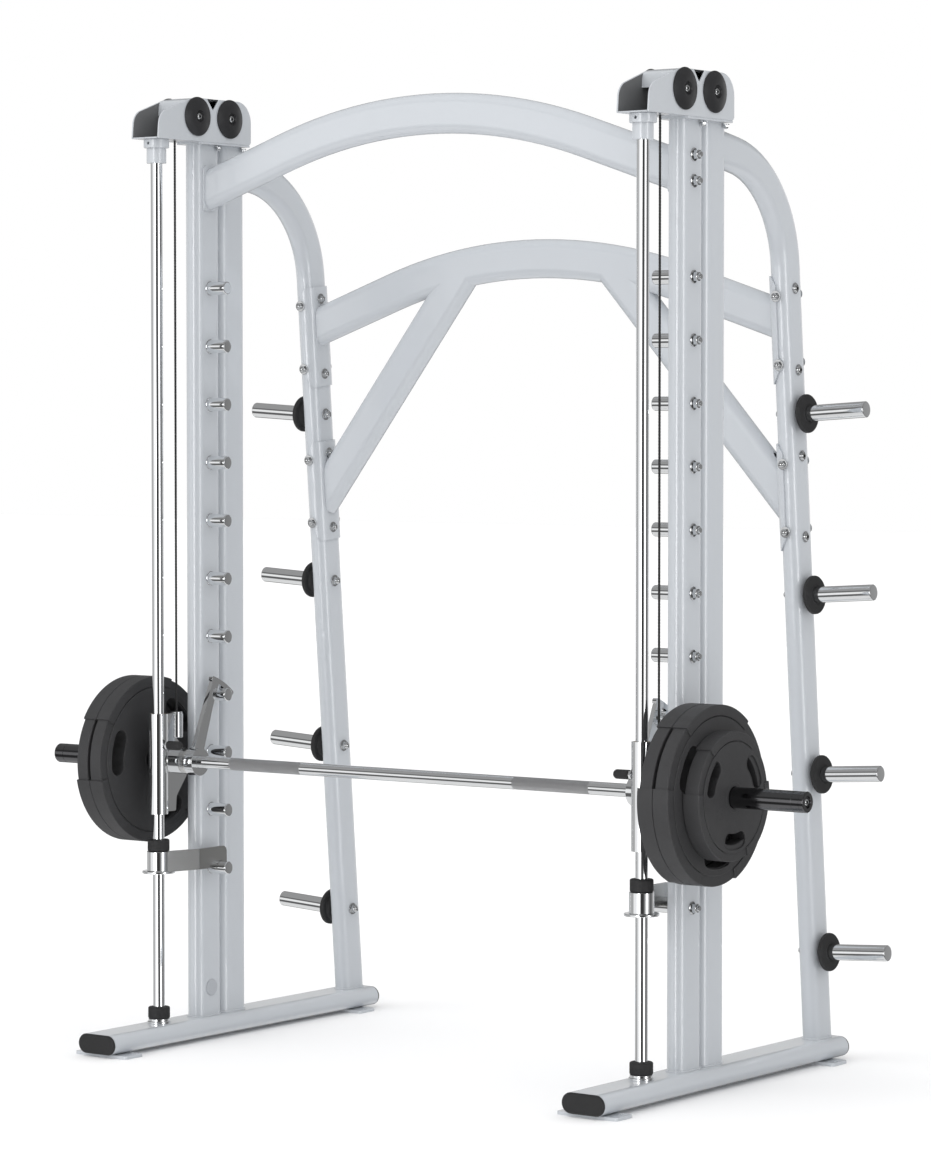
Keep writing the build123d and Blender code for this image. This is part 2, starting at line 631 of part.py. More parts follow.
with BuildPart() as pulley_caps:
    for side, sx in SIDES:
        for way in (-1, 1):
            for _, y in PULLEYS:
                face = (sx * SIDE_X + way * HOUSING_HALF, y, PULLEY_Z)
                with BuildSketch(Plane(origin=face, x_dir=(0, 1, 0), z_dir=(0, 0, -1))):
                    with BuildLine():
                        Polyline((11, way * 5), (AXLE_RADIUS, way * 5), (AXLE_RADIUS, 0),
                                 (CAP_RADIUS, 0), (CAP_RADIUS, way * 3))
                        ThreePointArc((CAP_RADIUS, way * 3), (34, way * 8.5), (16, way * 11.5))
                        Line((16, way * 11.5), (11, way * 11.5))
                        Line((11, way * 11.5), (11, way * 5))
                    make_face()
                revolve(axis=Axis(face, (1, 0, 0)))
pulley_caps.part.label = "pulley_caps"
export_step(pulley_caps.part, "parts/pulley_caps.step")

with BuildPart() as pulley_axles:
    for side, sx in SIDES:
        for _, y in PULLEYS:
            reach = HOUSING_HALF + 10
            with BuildSketch(Plane.YZ.offset(sx * SIDE_X - reach)):
                with Locations((y, PULLEY_Z)):
                    Circle(AXLE_RADIUS)
            extrude(amount=2 * reach)
            for way in (-1, 1):
                with BuildSketch(Plane.YZ.offset(sx * SIDE_X + way * (HOUSING_HALF + 5))):
                    with Locations((y, PULLEY_Z)):
                        Circle(9.0)
                extrude(amount=way * 6.0)
pulley_axles.part.label = "pulley_axles"
export_step(pulley_axles.part, "parts/pulley_axles.step")

PULLEY_HALF = 9.0
PULLEY_RIM = 41.0
RACE_RADIUS = 13.0
with BuildPart() as pulley_bearings:
    for side, sx in SIDES:
        for _, y in PULLEYS:
            with BuildSketch(Plane.YZ.offset(sx * SIDE_X - HOUSING_HALF + SHEET)):
                with Locations((y, PULLEY_Z)):
                    Circle(RACE_RADIUS - 4)
                    Circle(AXLE_RADIUS, mode=Mode.SUBTRACT)
            extrude(amount=2 * (HOUSING_HALF - SHEET))
            with BuildSketch(Plane.YZ.offset(sx * SIDE_X - PULLEY_HALF)):
                with Locations((y, PULLEY_Z)):
                    Circle(RACE_RADIUS)
                    Circle(AXLE_RADIUS, mode=Mode.SUBTRACT)
            extrude(amount=2 * PULLEY_HALF)
pulley_bearings.part.label = "pulley_bearings"
export_step(pulley_bearings.part, "parts/pulley_bearings.step")

for side, sx in SIDES:
    for place, y in PULLEYS:
        with BuildPart() as pulley:
            with BuildSketch(Plane.YZ.offset(sx * SIDE_X)):
                with Locations((y, PULLEY_Z)):
                    Circle(PULLEY_RIM)
            extrude(amount=PULLEY_HALF, both=True)
            with BuildSketch(Plane(origin=(sx * SIDE_X, y, PULLEY_Z), x_dir=(1, 0, 0),
                                   z_dir=(0, -1, 0))):
                with Locations((0, CABLE_BEND)):
                    Circle(CABLE_RADIUS + 0.4)
                with Locations((0, CABLE_BEND + 6)):
                    Trapezoid(16, 12, 110, rotation=180)
            revolve(axis=Axis((sx * SIDE_X, y, PULLEY_Z), (1, 0, 0)), mode=Mode.SUBTRACT)
            with BuildSketch(Plane.YZ.offset(sx * SIDE_X)):
                with Locations((y, PULLEY_Z)):
                    Circle(RACE_RADIUS + RUNNING)
            extrude(amount=2 * PULLEY_HALF, both=True, mode=Mode.SUBTRACT)
        pulley.part.label = f"{place}_pulley_{side}"
        export_step(pulley.part, f"parts/{place}_pulley_{side}.step")

# ---------------------------------------------------------------- cables and counterweights
ANCHOR_TOP = 857.0
with BuildPart() as cable_bushes:
    for side, sx in SIDES:
        for y in (FRONT_CABLE_Y, REAR_CABLE_Y):
            with BuildSketch(Plane.XY.offset(HEAD_Z)):
                with Locations((sx * SIDE_X, y)):
                    Circle(9.0)
                    Circle(CABLE_RADIUS + 1.5, mode=Mode.SUBTRACT)
            extrude(amount=SHEET)
            with BuildSketch(Plane.XY.offset(HEAD_Z + SHEET)):
                with Locations((sx * SIDE_X, y)):
                    Circle(12.0)
                    Circle(CABLE_RADIUS + 1.5, mode=Mode.SUBTRACT)
            extrude(amount=3.0)
cable_bushes.part.label = "cable_bushes"
export_step(cable_bushes.part, "parts/cable_bushes.step")


def straight_cable(sx, y, low, high):
    """One side's vertical cable run."""
    with BuildPart() as run:
        with BuildSketch(Plane.XY.offset(low)):
            with Locations((sx * SIDE_X, y)):
                Circle(CABLE_RADIUS)
        extrude(amount=high - low)
    return run.part


with BuildPart() as cable_front_runs:
    for side, sx in SIDES:
        add(straight_cable(sx, FRONT_CABLE_Y, ANCHOR_TOP, PULLEY_Z))
cable_front_runs.part.label = "cable_front_runs"
export_step(cable_front_runs.part, "parts/cable_front_runs.step")

for side, sx in SIDES:
    with BuildPart() as rear_run:
        add(straight_cable(sx, REAR_CABLE_Y, COUNTERWEIGHT_TOP + 12, PULLEY_Z))
    rear_run.part.label = f"cable_rear_run_{side}"
    export_step(rear_run.part, f"parts/cable_rear_run_{side}.step")

with BuildPart() as cable_top_runs:
    for side, sx in SIDES:
        with BuildLine(Plane.YZ.offset(sx * SIDE_X)) as over:
            FilletPolyline((FRONT_CABLE_Y, PULLEY_Z), (FRONT_CABLE_Y, PULLEY_Z + CABLE_BEND),
                           (REAR_CABLE_Y, PULLEY_Z + CABLE_BEND), (REAR_CABLE_Y, PULLEY_Z),
                           radius=CABLE_BEND - 0.01)
        with BuildSketch(Plane(origin=over.wire() @ 0, z_dir=over.wire() % 0)):
            Circle(CABLE_RADIUS)
        sweep(path=over.wire())
cable_top_runs.part.label = "cable_top_runs"
export_step(cable_top_runs.part, "parts/cable_top_runs.step")

for side, sx in SIDES:
    with BuildPart() as counterweight:
        with BuildSketch(Plane.XY.offset(COUNTERWEIGHT_TOP - COUNTERWEIGHT_LENGTH)):
            with Locations((sx * SIDE_X, REAR_CABLE_Y)):
                RectangleRounded(34, 62, 8)
        extrude(amount=COUNTERWEIGHT_LENGTH)
        with BuildSketch(Plane.XY.offset(COUNTERWEIGHT_TOP)):
            with Locations((sx * SIDE_X, REAR_CABLE_Y)):
                Circle(9.0)
        extrude(amount=12.0)
    counterweight.part.label = f"counterweight_{side}"
    export_step(counterweight.part, f"parts/counterweight_{side}.step")

# ---------------------------------------------------------------- guide rods
ROD_TOP = HEAD_Z - 1
SOCKET_HEIGHT = 13.0
BUMPER_HEIGHT = 30.0
COLLAR_Z = 2262.0
with BuildPart() as guide_rods:
    with BuildSketch(Plane.XY.offset(RAIL_TOP)):
        with Locations((-SIDE_X, ROD_Y), (SIDE_X, ROD_Y)):
            Circle(ROD_RADIUS)
    extrude(amount=ROD_TOP - RAIL_TOP)
guide_rods.part.label = "guide_rods"
export_step(guide_rods.part, "parts/guide_rods.step")

with BuildPart() as rod_base_sockets:
    for side, sx in SIDES:
        at = Plane(origin=(sx * SIDE_X, ROD_Y, RAIL_TOP), z_dir=(0, 0, 1))
        add(ring(at, 30.5, ROD_RADIUS, SOCKET_HEIGHT))
rod_base_sockets.part.label = "rod_base_sockets"
export_step(rod_base_sockets.part, "parts/rod_base_sockets.step")

with BuildPart() as rod_base_bumpers:
    for side, sx in SIDES:
        at = Plane(origin=(sx * SIDE_X, ROD_Y, RAIL_TOP + SOCKET_HEIGHT), z_dir=(0, 0, 1))
        add(ring(at, 28.2, ROD_RADIUS, BUMPER_HEIGHT, edge=3.0))
rod_base_bumpers.part.label = "rod_base_bumpers"
export_step(rod_base_bumpers.part, "parts/rod_base_bumpers.step")

with BuildPart() as rod_top_collars:
    for side, sx in SIDES:
        at = Plane(origin=(sx * SIDE_X, ROD_Y, COLLAR_Z), z_dir=(0, 0, 1))
        add(ring(at, 25.0, ROD_RADIUS, 40.0))
        add(ring(at.offset(39.0), 32.4, ROD_RADIUS, HEAD_Z - COLLAR_Z - 39.0))
        with BuildSketch(Plane(origin=(sx * SIDE_X, ROD_Y, 2312), z_dir=(0, -1, 0))):
            Circle(4.0)
        extrude(amount=40.0, mode=Mode.SUBTRACT)
        with BuildSketch(at):
            Circle(ROD_RADIUS)
        extrude(amount=HEAD_Z - COLLAR_Z, mode=Mode.SUBTRACT)
rod_top_collars.part.label = "rod_top_collars"
export_step(rod_top_collars.part, "parts/rod_top_collars.step")

# ---------------------------------------------------------------- carriages
WEB = 12.0
BEARING_LENGTH = 60.0
BARREL_HALF = 25.0
BUSH_RADIUS = 26.0
for side, sx in SIDES:
    with BuildPart() as carriage:
        with BuildSketch(Plane.XY.offset(CARRIAGE_BOTTOM)):
            with Locations((sx * SIDE_X, ROD_Y)):
                Circle(CARRIAGE_RADIUS)
        extrude(amount=CARRIAGE_TOP - CARRIAGE_BOTTOM)
        with BuildSketch(Plane.YZ.offset(sx * SIDE_X)):
            with BuildLine():
                FilletPolyline((-290, 602), (-243, 602), (-240, 640), (-200, 690), (-200, 748),
                               (-240, 790), (-240, 854), (-290, 854),
                               radius=[0, 4, 24, 8, 8, 8, 4, 0], close=True)
            make_face()
        extrude(amount=WEB / 2, both=True)
        with BuildSketch(Plane.YZ.offset(sx * SIDE_X)):
            with Locations((BAR_Y, BAR_Z)):
                Circle(BARREL_RADIUS)
        extrude(amount=BARREL_HALF, both=True)
        with BuildSketch(Plane.XY.offset(CARRIAGE_BOTTOM)):
            with Locations((sx * SIDE_X, ROD_Y)):
                Circle(BEARING_RADIUS)
        extrude(amount=CARRIAGE_TOP - CARRIAGE_BOTTOM, mode=Mode.SUBTRACT)
        with BuildSketch(Plane.YZ.offset(sx * SIDE_X)):
            with Locations((BAR_Y, BAR_Z)):
                Circle(BUSH_RADIUS)
        extrude(amount=2 * BARREL_HALF, both=True, mode=Mode.SUBTRACT)
        with BuildSketch(Plane.XY.offset(ANCHOR_TOP - 67)):
            with Locations((sx * SIDE_X, FRONT_CABLE_Y)):
                Circle(17.0)
        extrude(amount=67.0, mode=Mode.SUBTRACT)
        with BuildSketch(along_x(-sx, -SIDE_X, ROD_Y, 776)):
            Circle(5.0)
        extrude(amount=40.0, mode=Mode.SUBTRACT)
    carriage.part.label = f"carriage_{side}"
    export_step(carriage.part, f"parts/carriage_{side}.step")

with BuildPart() as linear_bearings:
    for side, sx in SIDES:
        for low in (CARRIAGE_BOTTOM + 1, CARRIAGE_TOP - 1 - BEARING_LENGTH):
            at = Plane(origin=(sx * SIDE_X, ROD_Y, low), z_dir=(0, 0, 1))
            add(ring(at, BEARING_RADIUS, ROD_RADIUS + RUNNING, BEARING_LENGTH))
linear_bearings.part.label = "linear_bearings"
export_step(linear_bearings.part, "parts/linear_bearings.step")

with BuildPart() as cable_anchors:
    for side, sx in SIDES:
        at = Plane(origin=(sx * SIDE_X, FRONT_CABLE_Y, ANCHOR_TOP - 67), z_dir=(0, 0, 1))
        with BuildSketch(at):
            Circle(17.0)
        extrude(amount=67.0)
    chamfer(cable_anchors.edges().filter_by(GeomType.CIRCLE), 2.0)
cable_anchors.part.label = "cable_anchors"
export_step(cable_anchors.part, "parts/cable_anchors.step")

with BuildPart() as bar_bearings:
    for side, sx in SIDES:
        inner_face = along_x(-sx, -(SIDE_X - BARREL_HALF), BAR_Y, BAR_Z)
        add(ring(inner_face, 33.5, BAR_RADIUS + RUNNING, 19.0, edge=3.0))
        add(ring(inner_face.offset(-2 * BARREL_HALF), BUSH_RADIUS, BAR_RADIUS + RUNNING,
                 2 * BARREL_HALF + 1, edge=0.5))
bar_bearings.part.label = "bar_bearings"
export_step(bar_bearings.part, "parts/bar_bearings.step")

HOOK_STOP_Z = 776.0
with BuildPart() as hook_stop_studs:
    for side, sx in SIDES:
        with BuildSketch(along_x(-sx, -(SIDE_X - BEARING_RADIUS - 1), ROD_Y, HOOK_STOP_Z)):
            Circle(5.0)
        extrude(amount=46.0)
        with BuildSketch(along_x(-sx, -(SIDE_X - CARRIAGE_RADIUS), ROD_Y, HOOK_STOP_Z)):
            Circle(9.0)
        extrude(amount=10.0)
hook_stop_studs.part.label = "hook_stop_studs"
export_step(hook_stop_studs.part, "parts/hook_stop_studs.step")

with BuildPart() as hook_stop_bumpers:
    for side, sx in SIDES:
        root = along_x(-sx, -(SIDE_X - CARRIAGE_RADIUS - 10), ROD_Y, HOOK_STOP_Z)
        with BuildSketch(root):
            Circle(11.5)
        extrude(amount=44.0)
    fillet(hook_stop_bumpers.edges().filter_by(GeomType.CIRCLE).group_by(Axis.X)[1], 0.5)
    for side, sx in SIDES:
        with BuildSketch(along_x(-sx, -(SIDE_X - CARRIAGE_RADIUS - 10), ROD_Y, HOOK_STOP_Z)):
            Circle(5.0)
        extrude(amount=33.0, mode=Mode.SUBTRACT)
hook_stop_bumpers.part.label = "hook_stop_bumpers"
export_step(hook_stop_bumpers.part, "parts/hook_stop_bumpers.step")

# ---------------------------------------------------------------- bar
with BuildPart() as bar:
    with BuildSketch(Plane.YZ):
        with Locations((BAR_Y, BAR_Z)):
            Circle(BAR_RADIUS)
    extrude(amount=BAR_HALF - SLEEVE_CAP, both=True)
bar.part.label = "bar"
export_step(bar.part, "parts/bar.step")

with BuildPart() as bar_sleeves:
    for side, sx in SIDES:
        root = along_x(sx, SLEEVE_START, BAR_Y, BAR_Z)
        add(ring(root, 36.0, BAR_RADIUS, SLEEVE_FLANGE, edge=3.0))
        with BuildSketch(root):
            Circle(SLEEVE_RADIUS)
            Circle(BAR_RADIUS, mode=Mode.SUBTRACT)
        extrude(amount=BAR_HALF - SLEEVE_CAP - SLEEVE_START)
bar_sleeves.part.label = "bar_sleeves"
export_step(bar_sleeves.part, "parts/bar_sleeves.step")

with BuildPart() as sleeve_end_caps:
    for side, sx in SIDES:
        with BuildSketch(along_x(sx, BAR_HALF - SLEEVE_CAP, BAR_Y, BAR_Z)):
            Circle(SLEEVE_RADIUS)
        extrude(amount=SLEEVE_CAP)
    chamfer(sleeve_end_caps.faces().group_by(Axis.X)[0].edges(), 2.5)
    chamfer(sleeve_end_caps.faces().group_by(Axis.X)[-1].edges(), 2.5)
    for side, sx in SIDES:
        with BuildSketch(along_x(sx, BAR_HALF - 7, BAR_Y, BAR_Z)):
            Circle(13.0)
            RegularPolygon(7.5, 6, mode=Mode.SUBTRACT)
        extrude(amount=7.0, mode=Mode.SUBTRACT)
        with BuildSketch(along_x(sx, BAR_HALF - 3, BAR_Y, BAR_Z)):
            RegularPolygon(7.6, 6)
        extrude(amount=3.0, mode=Mode.SUBTRACT)
sleeve_end_caps.part.label = "sleeve_end_caps"
export_step(sleeve_end_caps.part, "parts/sleeve_end_caps.step")

# ---------------------------------------------------------------- rack hooks
# The hood's seat is an arc about the bar's own axis, so the hook turns off a peg freely.
HOOK_X = 681.0
HOOK_THICKNESS = 12.0
HUB_RADIUS = 36.0
SEAT_GAP = 0.4
peg_dy = FRONT_POST_Y - BAR_Y
peg_dz = PEG_FIRST_Z + 3 * PEG_PITCH - BAR_Z
PEG_ANGLE = degrees(atan2(peg_dz, peg_dy))
PEG_DISTANCE = (peg_dy**2 + peg_dz**2) ** 0.5
HOOD_INNER = PEG_DISTANCE + PEG_RADIUS + SEAT_GAP
HOOD_OUTER = HOOD_INNER + 13.5


def polar(radius, angle):
    """Point at an angle from +Y towards +Z."""
    return (radius * cos(radians(angle)), radius * sin(radians(angle)))


def rack_hook(sx):
    """Flat hook of one side: a hub clamped on the bar, an arm and a hood over the peg."""
    root = Plane(origin=(sx * HOOK_X, BAR_Y, BAR_Z), x_dir=(0, 1, 0), z_dir=(1, 0, 0))
    hub_root = root.offset(-sx * 11)
    with BuildPart() as hook:
        with BuildSketch(root):
            Circle(HOOD_OUTER)
            Circle(HOOD_INNER, mode=Mode.SUBTRACT)
            with BuildLine():
                Polyline((0, 0), polar(2 * HOOD_OUTER, PEG_ANGLE - 10),
                         polar(2 * HOOD_OUTER, PEG_ANGLE + 15), close=True)
            make_face(mode=Mode.INTERSECT)
            fillet(vertices(), 5)
            with BuildLine():
                Polyline(polar(33, 111), polar(HOOD_OUTER - 3, PEG_ANGLE + 13.5),
                         polar(HOOD_INNER + 4, PEG_ANGLE + 7), polar(150, PEG_ANGLE + 6),
                         polar(34, 40), close=True)
            make_face()
        extrude(amount=sx * HOOK_THICKNESS)
        with BuildSketch(hub_root):
            Circle(HUB_RADIUS)
        extrude(amount=sx * 27)
        with BuildSketch(hub_root):
            Circle(BAR_RADIUS)
        extrude(amount=sx * 27, mode=Mode.SUBTRACT)
    return hook.part


with BuildPart() as rack_hooks:
    add(rack_hook(-1))
    add(rack_hook(1))
rack_hooks.part.label = "rack_hooks"
export_step(rack_hooks.part, "parts/rack_hooks.step")

# ---------------------------------------------------------------- weight plates
BIG_SLOT = (147.0, 117.0, 46.0)       # slot centre radius, length, width
SMALL_SLOT = (104.0, 88.0, 38.0)
STACK_START = SLEEVE_START + SLEEVE_FLANGE + 0.4


def weight_plate(sx, start, radius, thickness, slot, first_angle):
    """Disc with a raised rim and hub, a bore and three curved handle slots.

    first_angle runs from +Y towards +Z on both sides of the machine.
    """
    slot_radius, slot_length, slot_width = slot
    slot_sweep = degrees((slot_length - slot_width) / slot_radius)
    inner = along_x(sx, start, BAR_Y, BAR_Z)
    with BuildPart() as disc:
        with BuildSketch(inner):
            Circle(radius)
        extrude(amount=thickness)
        chamfer(disc.edges().filter_by(GeomType.CIRCLE), 6.0)
        for height, way in ((0.0, 1), (thickness, -1)):
            with BuildSketch(inner.offset(height)):
                Circle(radius - 22)
                Circle(52.0, mode=Mode.SUBTRACT)
            extrude(amount=way * 4.0, mode=Mode.SUBTRACT)
        with BuildSketch(inner):
            Circle(PLATE_BORE)
            for turn in (0, 120, 240):
                middle = sx * (first_angle + turn)
                with BuildLine(mode=Mode.PRIVATE) as slot_line:
                    CenterArc((0, 0), slot_radius, middle - slot_sweep / 2, slot_sweep)
                SlotArc(slot_line.edge(), slot_width)
        extrude(amount=thickness, mode=Mode.SUBTRACT)
    return disc.part


for (side, sx), slot_angle in zip(SIDES, (50, 30)):
    first = STACK_START
    second = first + BIG_PLATE_THICKNESS + 0.4
    third = second + BIG_PLATE_THICKNESS + 0.4
    with BuildPart() as big_plates:
        for start in (first, second):
            add(weight_plate(sx, start, BIG_PLATE_RADIUS, BIG_PLATE_THICKNESS, BIG_SLOT, slot_angle))
    big_plates.part.label = f"plates_45_{side}"
    export_step(big_plates.part, f"parts/plates_45_{side}.step")
    with BuildPart() as small_plate:
        add(weight_plate(sx, third, SMALL_PLATE_RADIUS, SMALL_PLATE_THICKNESS, SMALL_SLOT, slot_angle + 2))
    small_plate.part.label = f"plate_25_{side}"
    export_step(small_plate.part, f"parts/plate_25_{side}.step")

# ---------------------------------------------------------------- safety stops
STOP_COLLAR = 30.0
STOP_BASE = 446.0
ARM_SHEET = 6.0
SADDLE_BORE = PEG_RADIUS + 0.5
for side, sx in SIDES:
    rod_base = Plane(origin=(sx * SIDE_X, ROD_Y, STOP_BASE), z_dir=(0, 0, 1))
    with BuildPart() as stop_collar:
        add(ring(rod_base, 42.0, ROD_RADIUS + RUNNING, 6.0))
        add(ring(rod_base.offset(5.0), STOP_COLLAR, ROD_RADIUS + RUNNING, 51.0))
    stop_collar.part.label = f"stop_collar_{side}"
    export_step(stop_collar.part, f"parts/stop_collar_{side}.step")

    with BuildPart() as stop_bumper:
        add(ring(rod_base.offset(56.0), 28.2, ROD_RADIUS + 0.5, 31.0, edge=3.0))
    stop_bumper.part.label = f"stop_bumper_{side}"
    export_step(stop_bumper.part, f"parts/stop_bumper_{side}.step")

    with BuildPart() as stop_arm:
        with BuildSketch(Plane.XY.offset(STOP_Z)):
            with BuildLine() as arm_line:
                FilletPolyline((sx * (SIDE_X - STOP_COLLAR + 3), ROD_Y + 2), (sx * STOP_ARM_X, -210),
                               (sx * STOP_ARM_X, FRONT_POST_Y + 24), radius=14)
            trace(arm_line.line, ARM_SHEET)
        extrude(amount=STOP_ARM_HEIGHT)
        with BuildSketch(Plane.YZ.offset(sx * (STOP_ARM_X - 3))):
            with Locations((FRONT_POST_Y, PEG_FIRST_Z)):
                Circle(SADDLE_BORE + 4)
        extrude(amount=sx * 29.0)
        with BuildSketch(Plane.YZ.offset(sx * (STOP_ARM_X - 10))):
            with Locations((FRONT_POST_Y, PEG_FIRST_Z)):
                Circle(SADDLE_BORE)
            with Locations((FRONT_POST_Y, PEG_FIRST_Z - 50)):
                Rectangle(100, 100)
        extrude(amount=sx * 40.0, mode=Mode.SUBTRACT)
        for radius, low, high in ((STOP_COLLAR, STOP_BASE, 80.0), (42.0, STOP_BASE, 6.0)):
            with BuildSketch(Plane.XY.offset(low)):
                with Locations((sx * SIDE_X, ROD_Y)):
                    Circle(radius)
            extrude(amount=high, mode=Mode.SUBTRACT)
        fillet(stop_arm.edges().filter_by(Axis.X).group_by(Axis.Y)[-1].group_by(Axis.Z)[-1], 16.0)
    stop_arm.part.label = f"stop_arm_{side}"
    export_step(stop_arm.part, f"parts/stop_arm_{side}.step")
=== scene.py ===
import json
import math

import bmesh
import bpy
from mathutils import Matrix, Vector

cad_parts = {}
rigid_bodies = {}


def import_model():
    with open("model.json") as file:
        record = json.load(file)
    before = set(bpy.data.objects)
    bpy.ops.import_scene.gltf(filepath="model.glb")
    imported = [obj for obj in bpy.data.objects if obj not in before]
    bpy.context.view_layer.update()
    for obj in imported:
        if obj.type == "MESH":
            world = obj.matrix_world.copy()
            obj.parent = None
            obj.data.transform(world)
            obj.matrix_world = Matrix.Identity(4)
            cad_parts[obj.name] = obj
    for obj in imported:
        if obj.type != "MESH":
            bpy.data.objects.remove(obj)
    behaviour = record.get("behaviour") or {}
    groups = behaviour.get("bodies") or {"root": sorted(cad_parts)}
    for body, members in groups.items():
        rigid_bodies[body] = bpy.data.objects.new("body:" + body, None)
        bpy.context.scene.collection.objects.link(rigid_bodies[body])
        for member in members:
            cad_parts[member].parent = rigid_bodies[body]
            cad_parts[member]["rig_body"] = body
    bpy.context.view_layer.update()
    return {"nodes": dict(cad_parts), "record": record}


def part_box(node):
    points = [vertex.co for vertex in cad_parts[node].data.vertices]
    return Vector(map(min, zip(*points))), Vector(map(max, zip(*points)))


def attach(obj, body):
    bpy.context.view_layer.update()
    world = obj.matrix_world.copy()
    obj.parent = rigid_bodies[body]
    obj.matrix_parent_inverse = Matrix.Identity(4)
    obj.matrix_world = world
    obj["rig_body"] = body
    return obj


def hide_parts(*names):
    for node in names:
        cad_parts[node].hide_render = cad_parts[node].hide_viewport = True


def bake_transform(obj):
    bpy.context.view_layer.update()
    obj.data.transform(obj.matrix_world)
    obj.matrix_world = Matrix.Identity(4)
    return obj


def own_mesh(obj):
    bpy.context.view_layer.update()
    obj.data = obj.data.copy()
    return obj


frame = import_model()

# ---------------------------------------------------------------- places read from the frame
MM = 0.001
SIDES = (("left", -1), ("right", 1))


def middle(node):
    """Centre of a CAD node's box."""
    low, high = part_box(node)
    return (low + high) / 2


def solids(node):
    """(low, high) box of every separate solid of a CAD node."""
    shape = bmesh.new()
    shape.from_mesh(frame["nodes"][node].data)
    bmesh.ops.remove_doubles(shape, verts=shape.verts, dist=0.01 * MM)
    left = set(shape.verts)
    boxes = []
    while left:
        stack = [left.pop()]
        found = []
        while stack:
            vert = stack.pop()
            found.append(vert.co.copy())
            for edge in vert.link_edges:
                other = edge.other_vert(vert)
                if other in left:
                    left.remove(other)
                    stack.append(other)
        low = Vector(min(p[i] for p in found) for i in range(3))
        high = Vector(max(p[i] for p in found) for i in range(3))
        boxes.append((low, high))
    shape.free()
    return sorted(boxes, key=lambda box: tuple(round(c, 5) for c in (box[0] + box[1])))


def sided(node):
    """(low, high, centre, side's sign) of every separate solid of a CAD node."""
    return [(low, high, (low + high) / 2, 1 if low.x + high.x > 0 else -1) for low, high in solids(node)]


rods_low, rods_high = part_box("guide_rods")
ROD_RADIUS = (rods_high.y - rods_low.y) / 2
ROD_Y = middle("guide_rods").y
SIDE_X = rods_high.x - ROD_RADIUS
BAR = middle("bar")
BAR_RADIUS = (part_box("bar")[1].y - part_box("bar")[0].y) / 2
RAIL_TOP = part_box("base_rails")[1].z
POST_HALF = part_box("front_posts")[1].x - SIDE_X
HEAD_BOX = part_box("pulley_housings")

horns = {m["name"]: m for m in frame["record"]["mounts"] if m["name"].startswith("horn_")}
horn_low = Vector(horns["horn_left_1"]["pos_m"])
horn_high = Vector(horns["horn_left_4"]["pos_m"])
LEG_SLOPE = (horn_low.y - horn_high.y) / (horn_high.z - horn_low.z)
LEG_LEAN = math.atan(LEG_SLOPE)
ACROSS_LEG = Vector((0, math.cos(LEG_LEAN), math.sin(LEG_LEAN)))


def leg_y(z):
    """Y of the leaning leg's centreline at height z."""
    return horn_low.y - (z - horn_low.z) * LEG_SLOPE


# ---------------------------------------------------------------- materials
MIX_A, MIX_B, MIX_RESULT = 6, 7, 2      # colour sockets of a Mix node


def wire(tree, source, target):
    tree.links.new(source, target)


def new_node(tree, kind, **inputs):
    """A shader node with some inputs set by name."""
    node = tree.nodes.new(kind)
    for name, value in inputs.items():
        node.inputs[name.replace("_", " ")].default_value = value
    return node


def maths(tree, operation, *values):
    """Result of a maths node whose inputs are numbers or the outputs of other nodes."""
    node = tree.nodes.new("ShaderNodeMath")
    node.operation = operation
    for socket, value in zip(node.inputs, values):
        if isinstance(value, (int, float)):
            socket.default_value = value
        else:
            wire(tree, value, socket)
    return node.outputs["Value"]


def surface(name, colour, rough, metal=0.0, coat=0.0, mottle=0.06, mottle_scale=9.0,
            rough_spread=0.06, grain_scale=900.0, grain_height=0.02, stretch=(1, 1, 1), specular=0.5):
    """Material with mottled colour, uneven roughness and a fine bump."""
    made = bpy.data.materials.new(name)
    made.use_nodes = True
    tree = made.node_tree
    shader = tree.nodes["Principled BSDF"]
    shader.inputs["Metallic"].default_value = metal
    shader.inputs["Coat Weight"].default_value = coat
    shader.inputs["Coat Roughness"].default_value = 0.08
    shader.inputs["Specular IOR Level"].default_value = specular
    place = new_node(tree, "ShaderNodeTexCoord")
    scaled = new_node(tree, "ShaderNodeMapping")
    scaled.inputs["Scale"].default_value = stretch
    wire(tree, place.outputs["Object"], scaled.inputs["Vector"])

    clouds = new_node(tree, "ShaderNodeTexNoise", Scale=mottle_scale, Detail=6.0, Roughness=0.6)
    wire(tree, scaled.outputs["Vector"], clouds.inputs["Vector"])
    blend = new_node(tree, "ShaderNodeMix")
    blend.data_type = "RGBA"
    dark = [c * (1 - mottle) for c in colour]
    light = [min(1.0, c * (1 + mottle)) for c in colour]
    blend.inputs[MIX_A].default_value = (*dark, 1)
    blend.inputs[MIX_B].default_value = (*light, 1)
    wire(tree, clouds.outputs["Fac"], blend.inputs["Factor"])
    wire(tree, blend.outputs[MIX_RESULT], shader.inputs["Base Color"])

    smears = new_node(tree, "ShaderNodeTexNoise", Scale=mottle_scale * 3, Detail=8.0, Roughness=0.7)
    wire(tree, scaled.outputs["Vector"], smears.inputs["Vector"])
    spread = new_node(tree, "ShaderNodeMapRange")
    spread.inputs["To Min"].default_value = max(0.02, rough - rough_spread)
    spread.inputs["To Max"].default_value = min(1.0, rough + rough_spread)
    wire(tree, smears.outputs["Fac"], spread.inputs["Value"])
    wire(tree, spread.outputs["Result"], shader.inputs["Roughness"])

    grain = new_node(tree, "ShaderNodeTexNoise", Scale=grain_scale, Detail=3.0, Roughness=0.55)
    wire(tree, scaled.outputs["Vector"], grain.inputs["Vector"])
    bump = new_node(tree, "ShaderNodeBump", Strength=0.5, Distance=grain_height * MM)
    wire(tree, grain.outputs["Fac"], bump.inputs["Height"])
    wire(tree, bump.outputs["Normal"], shader.inputs["Normal"])
    return made


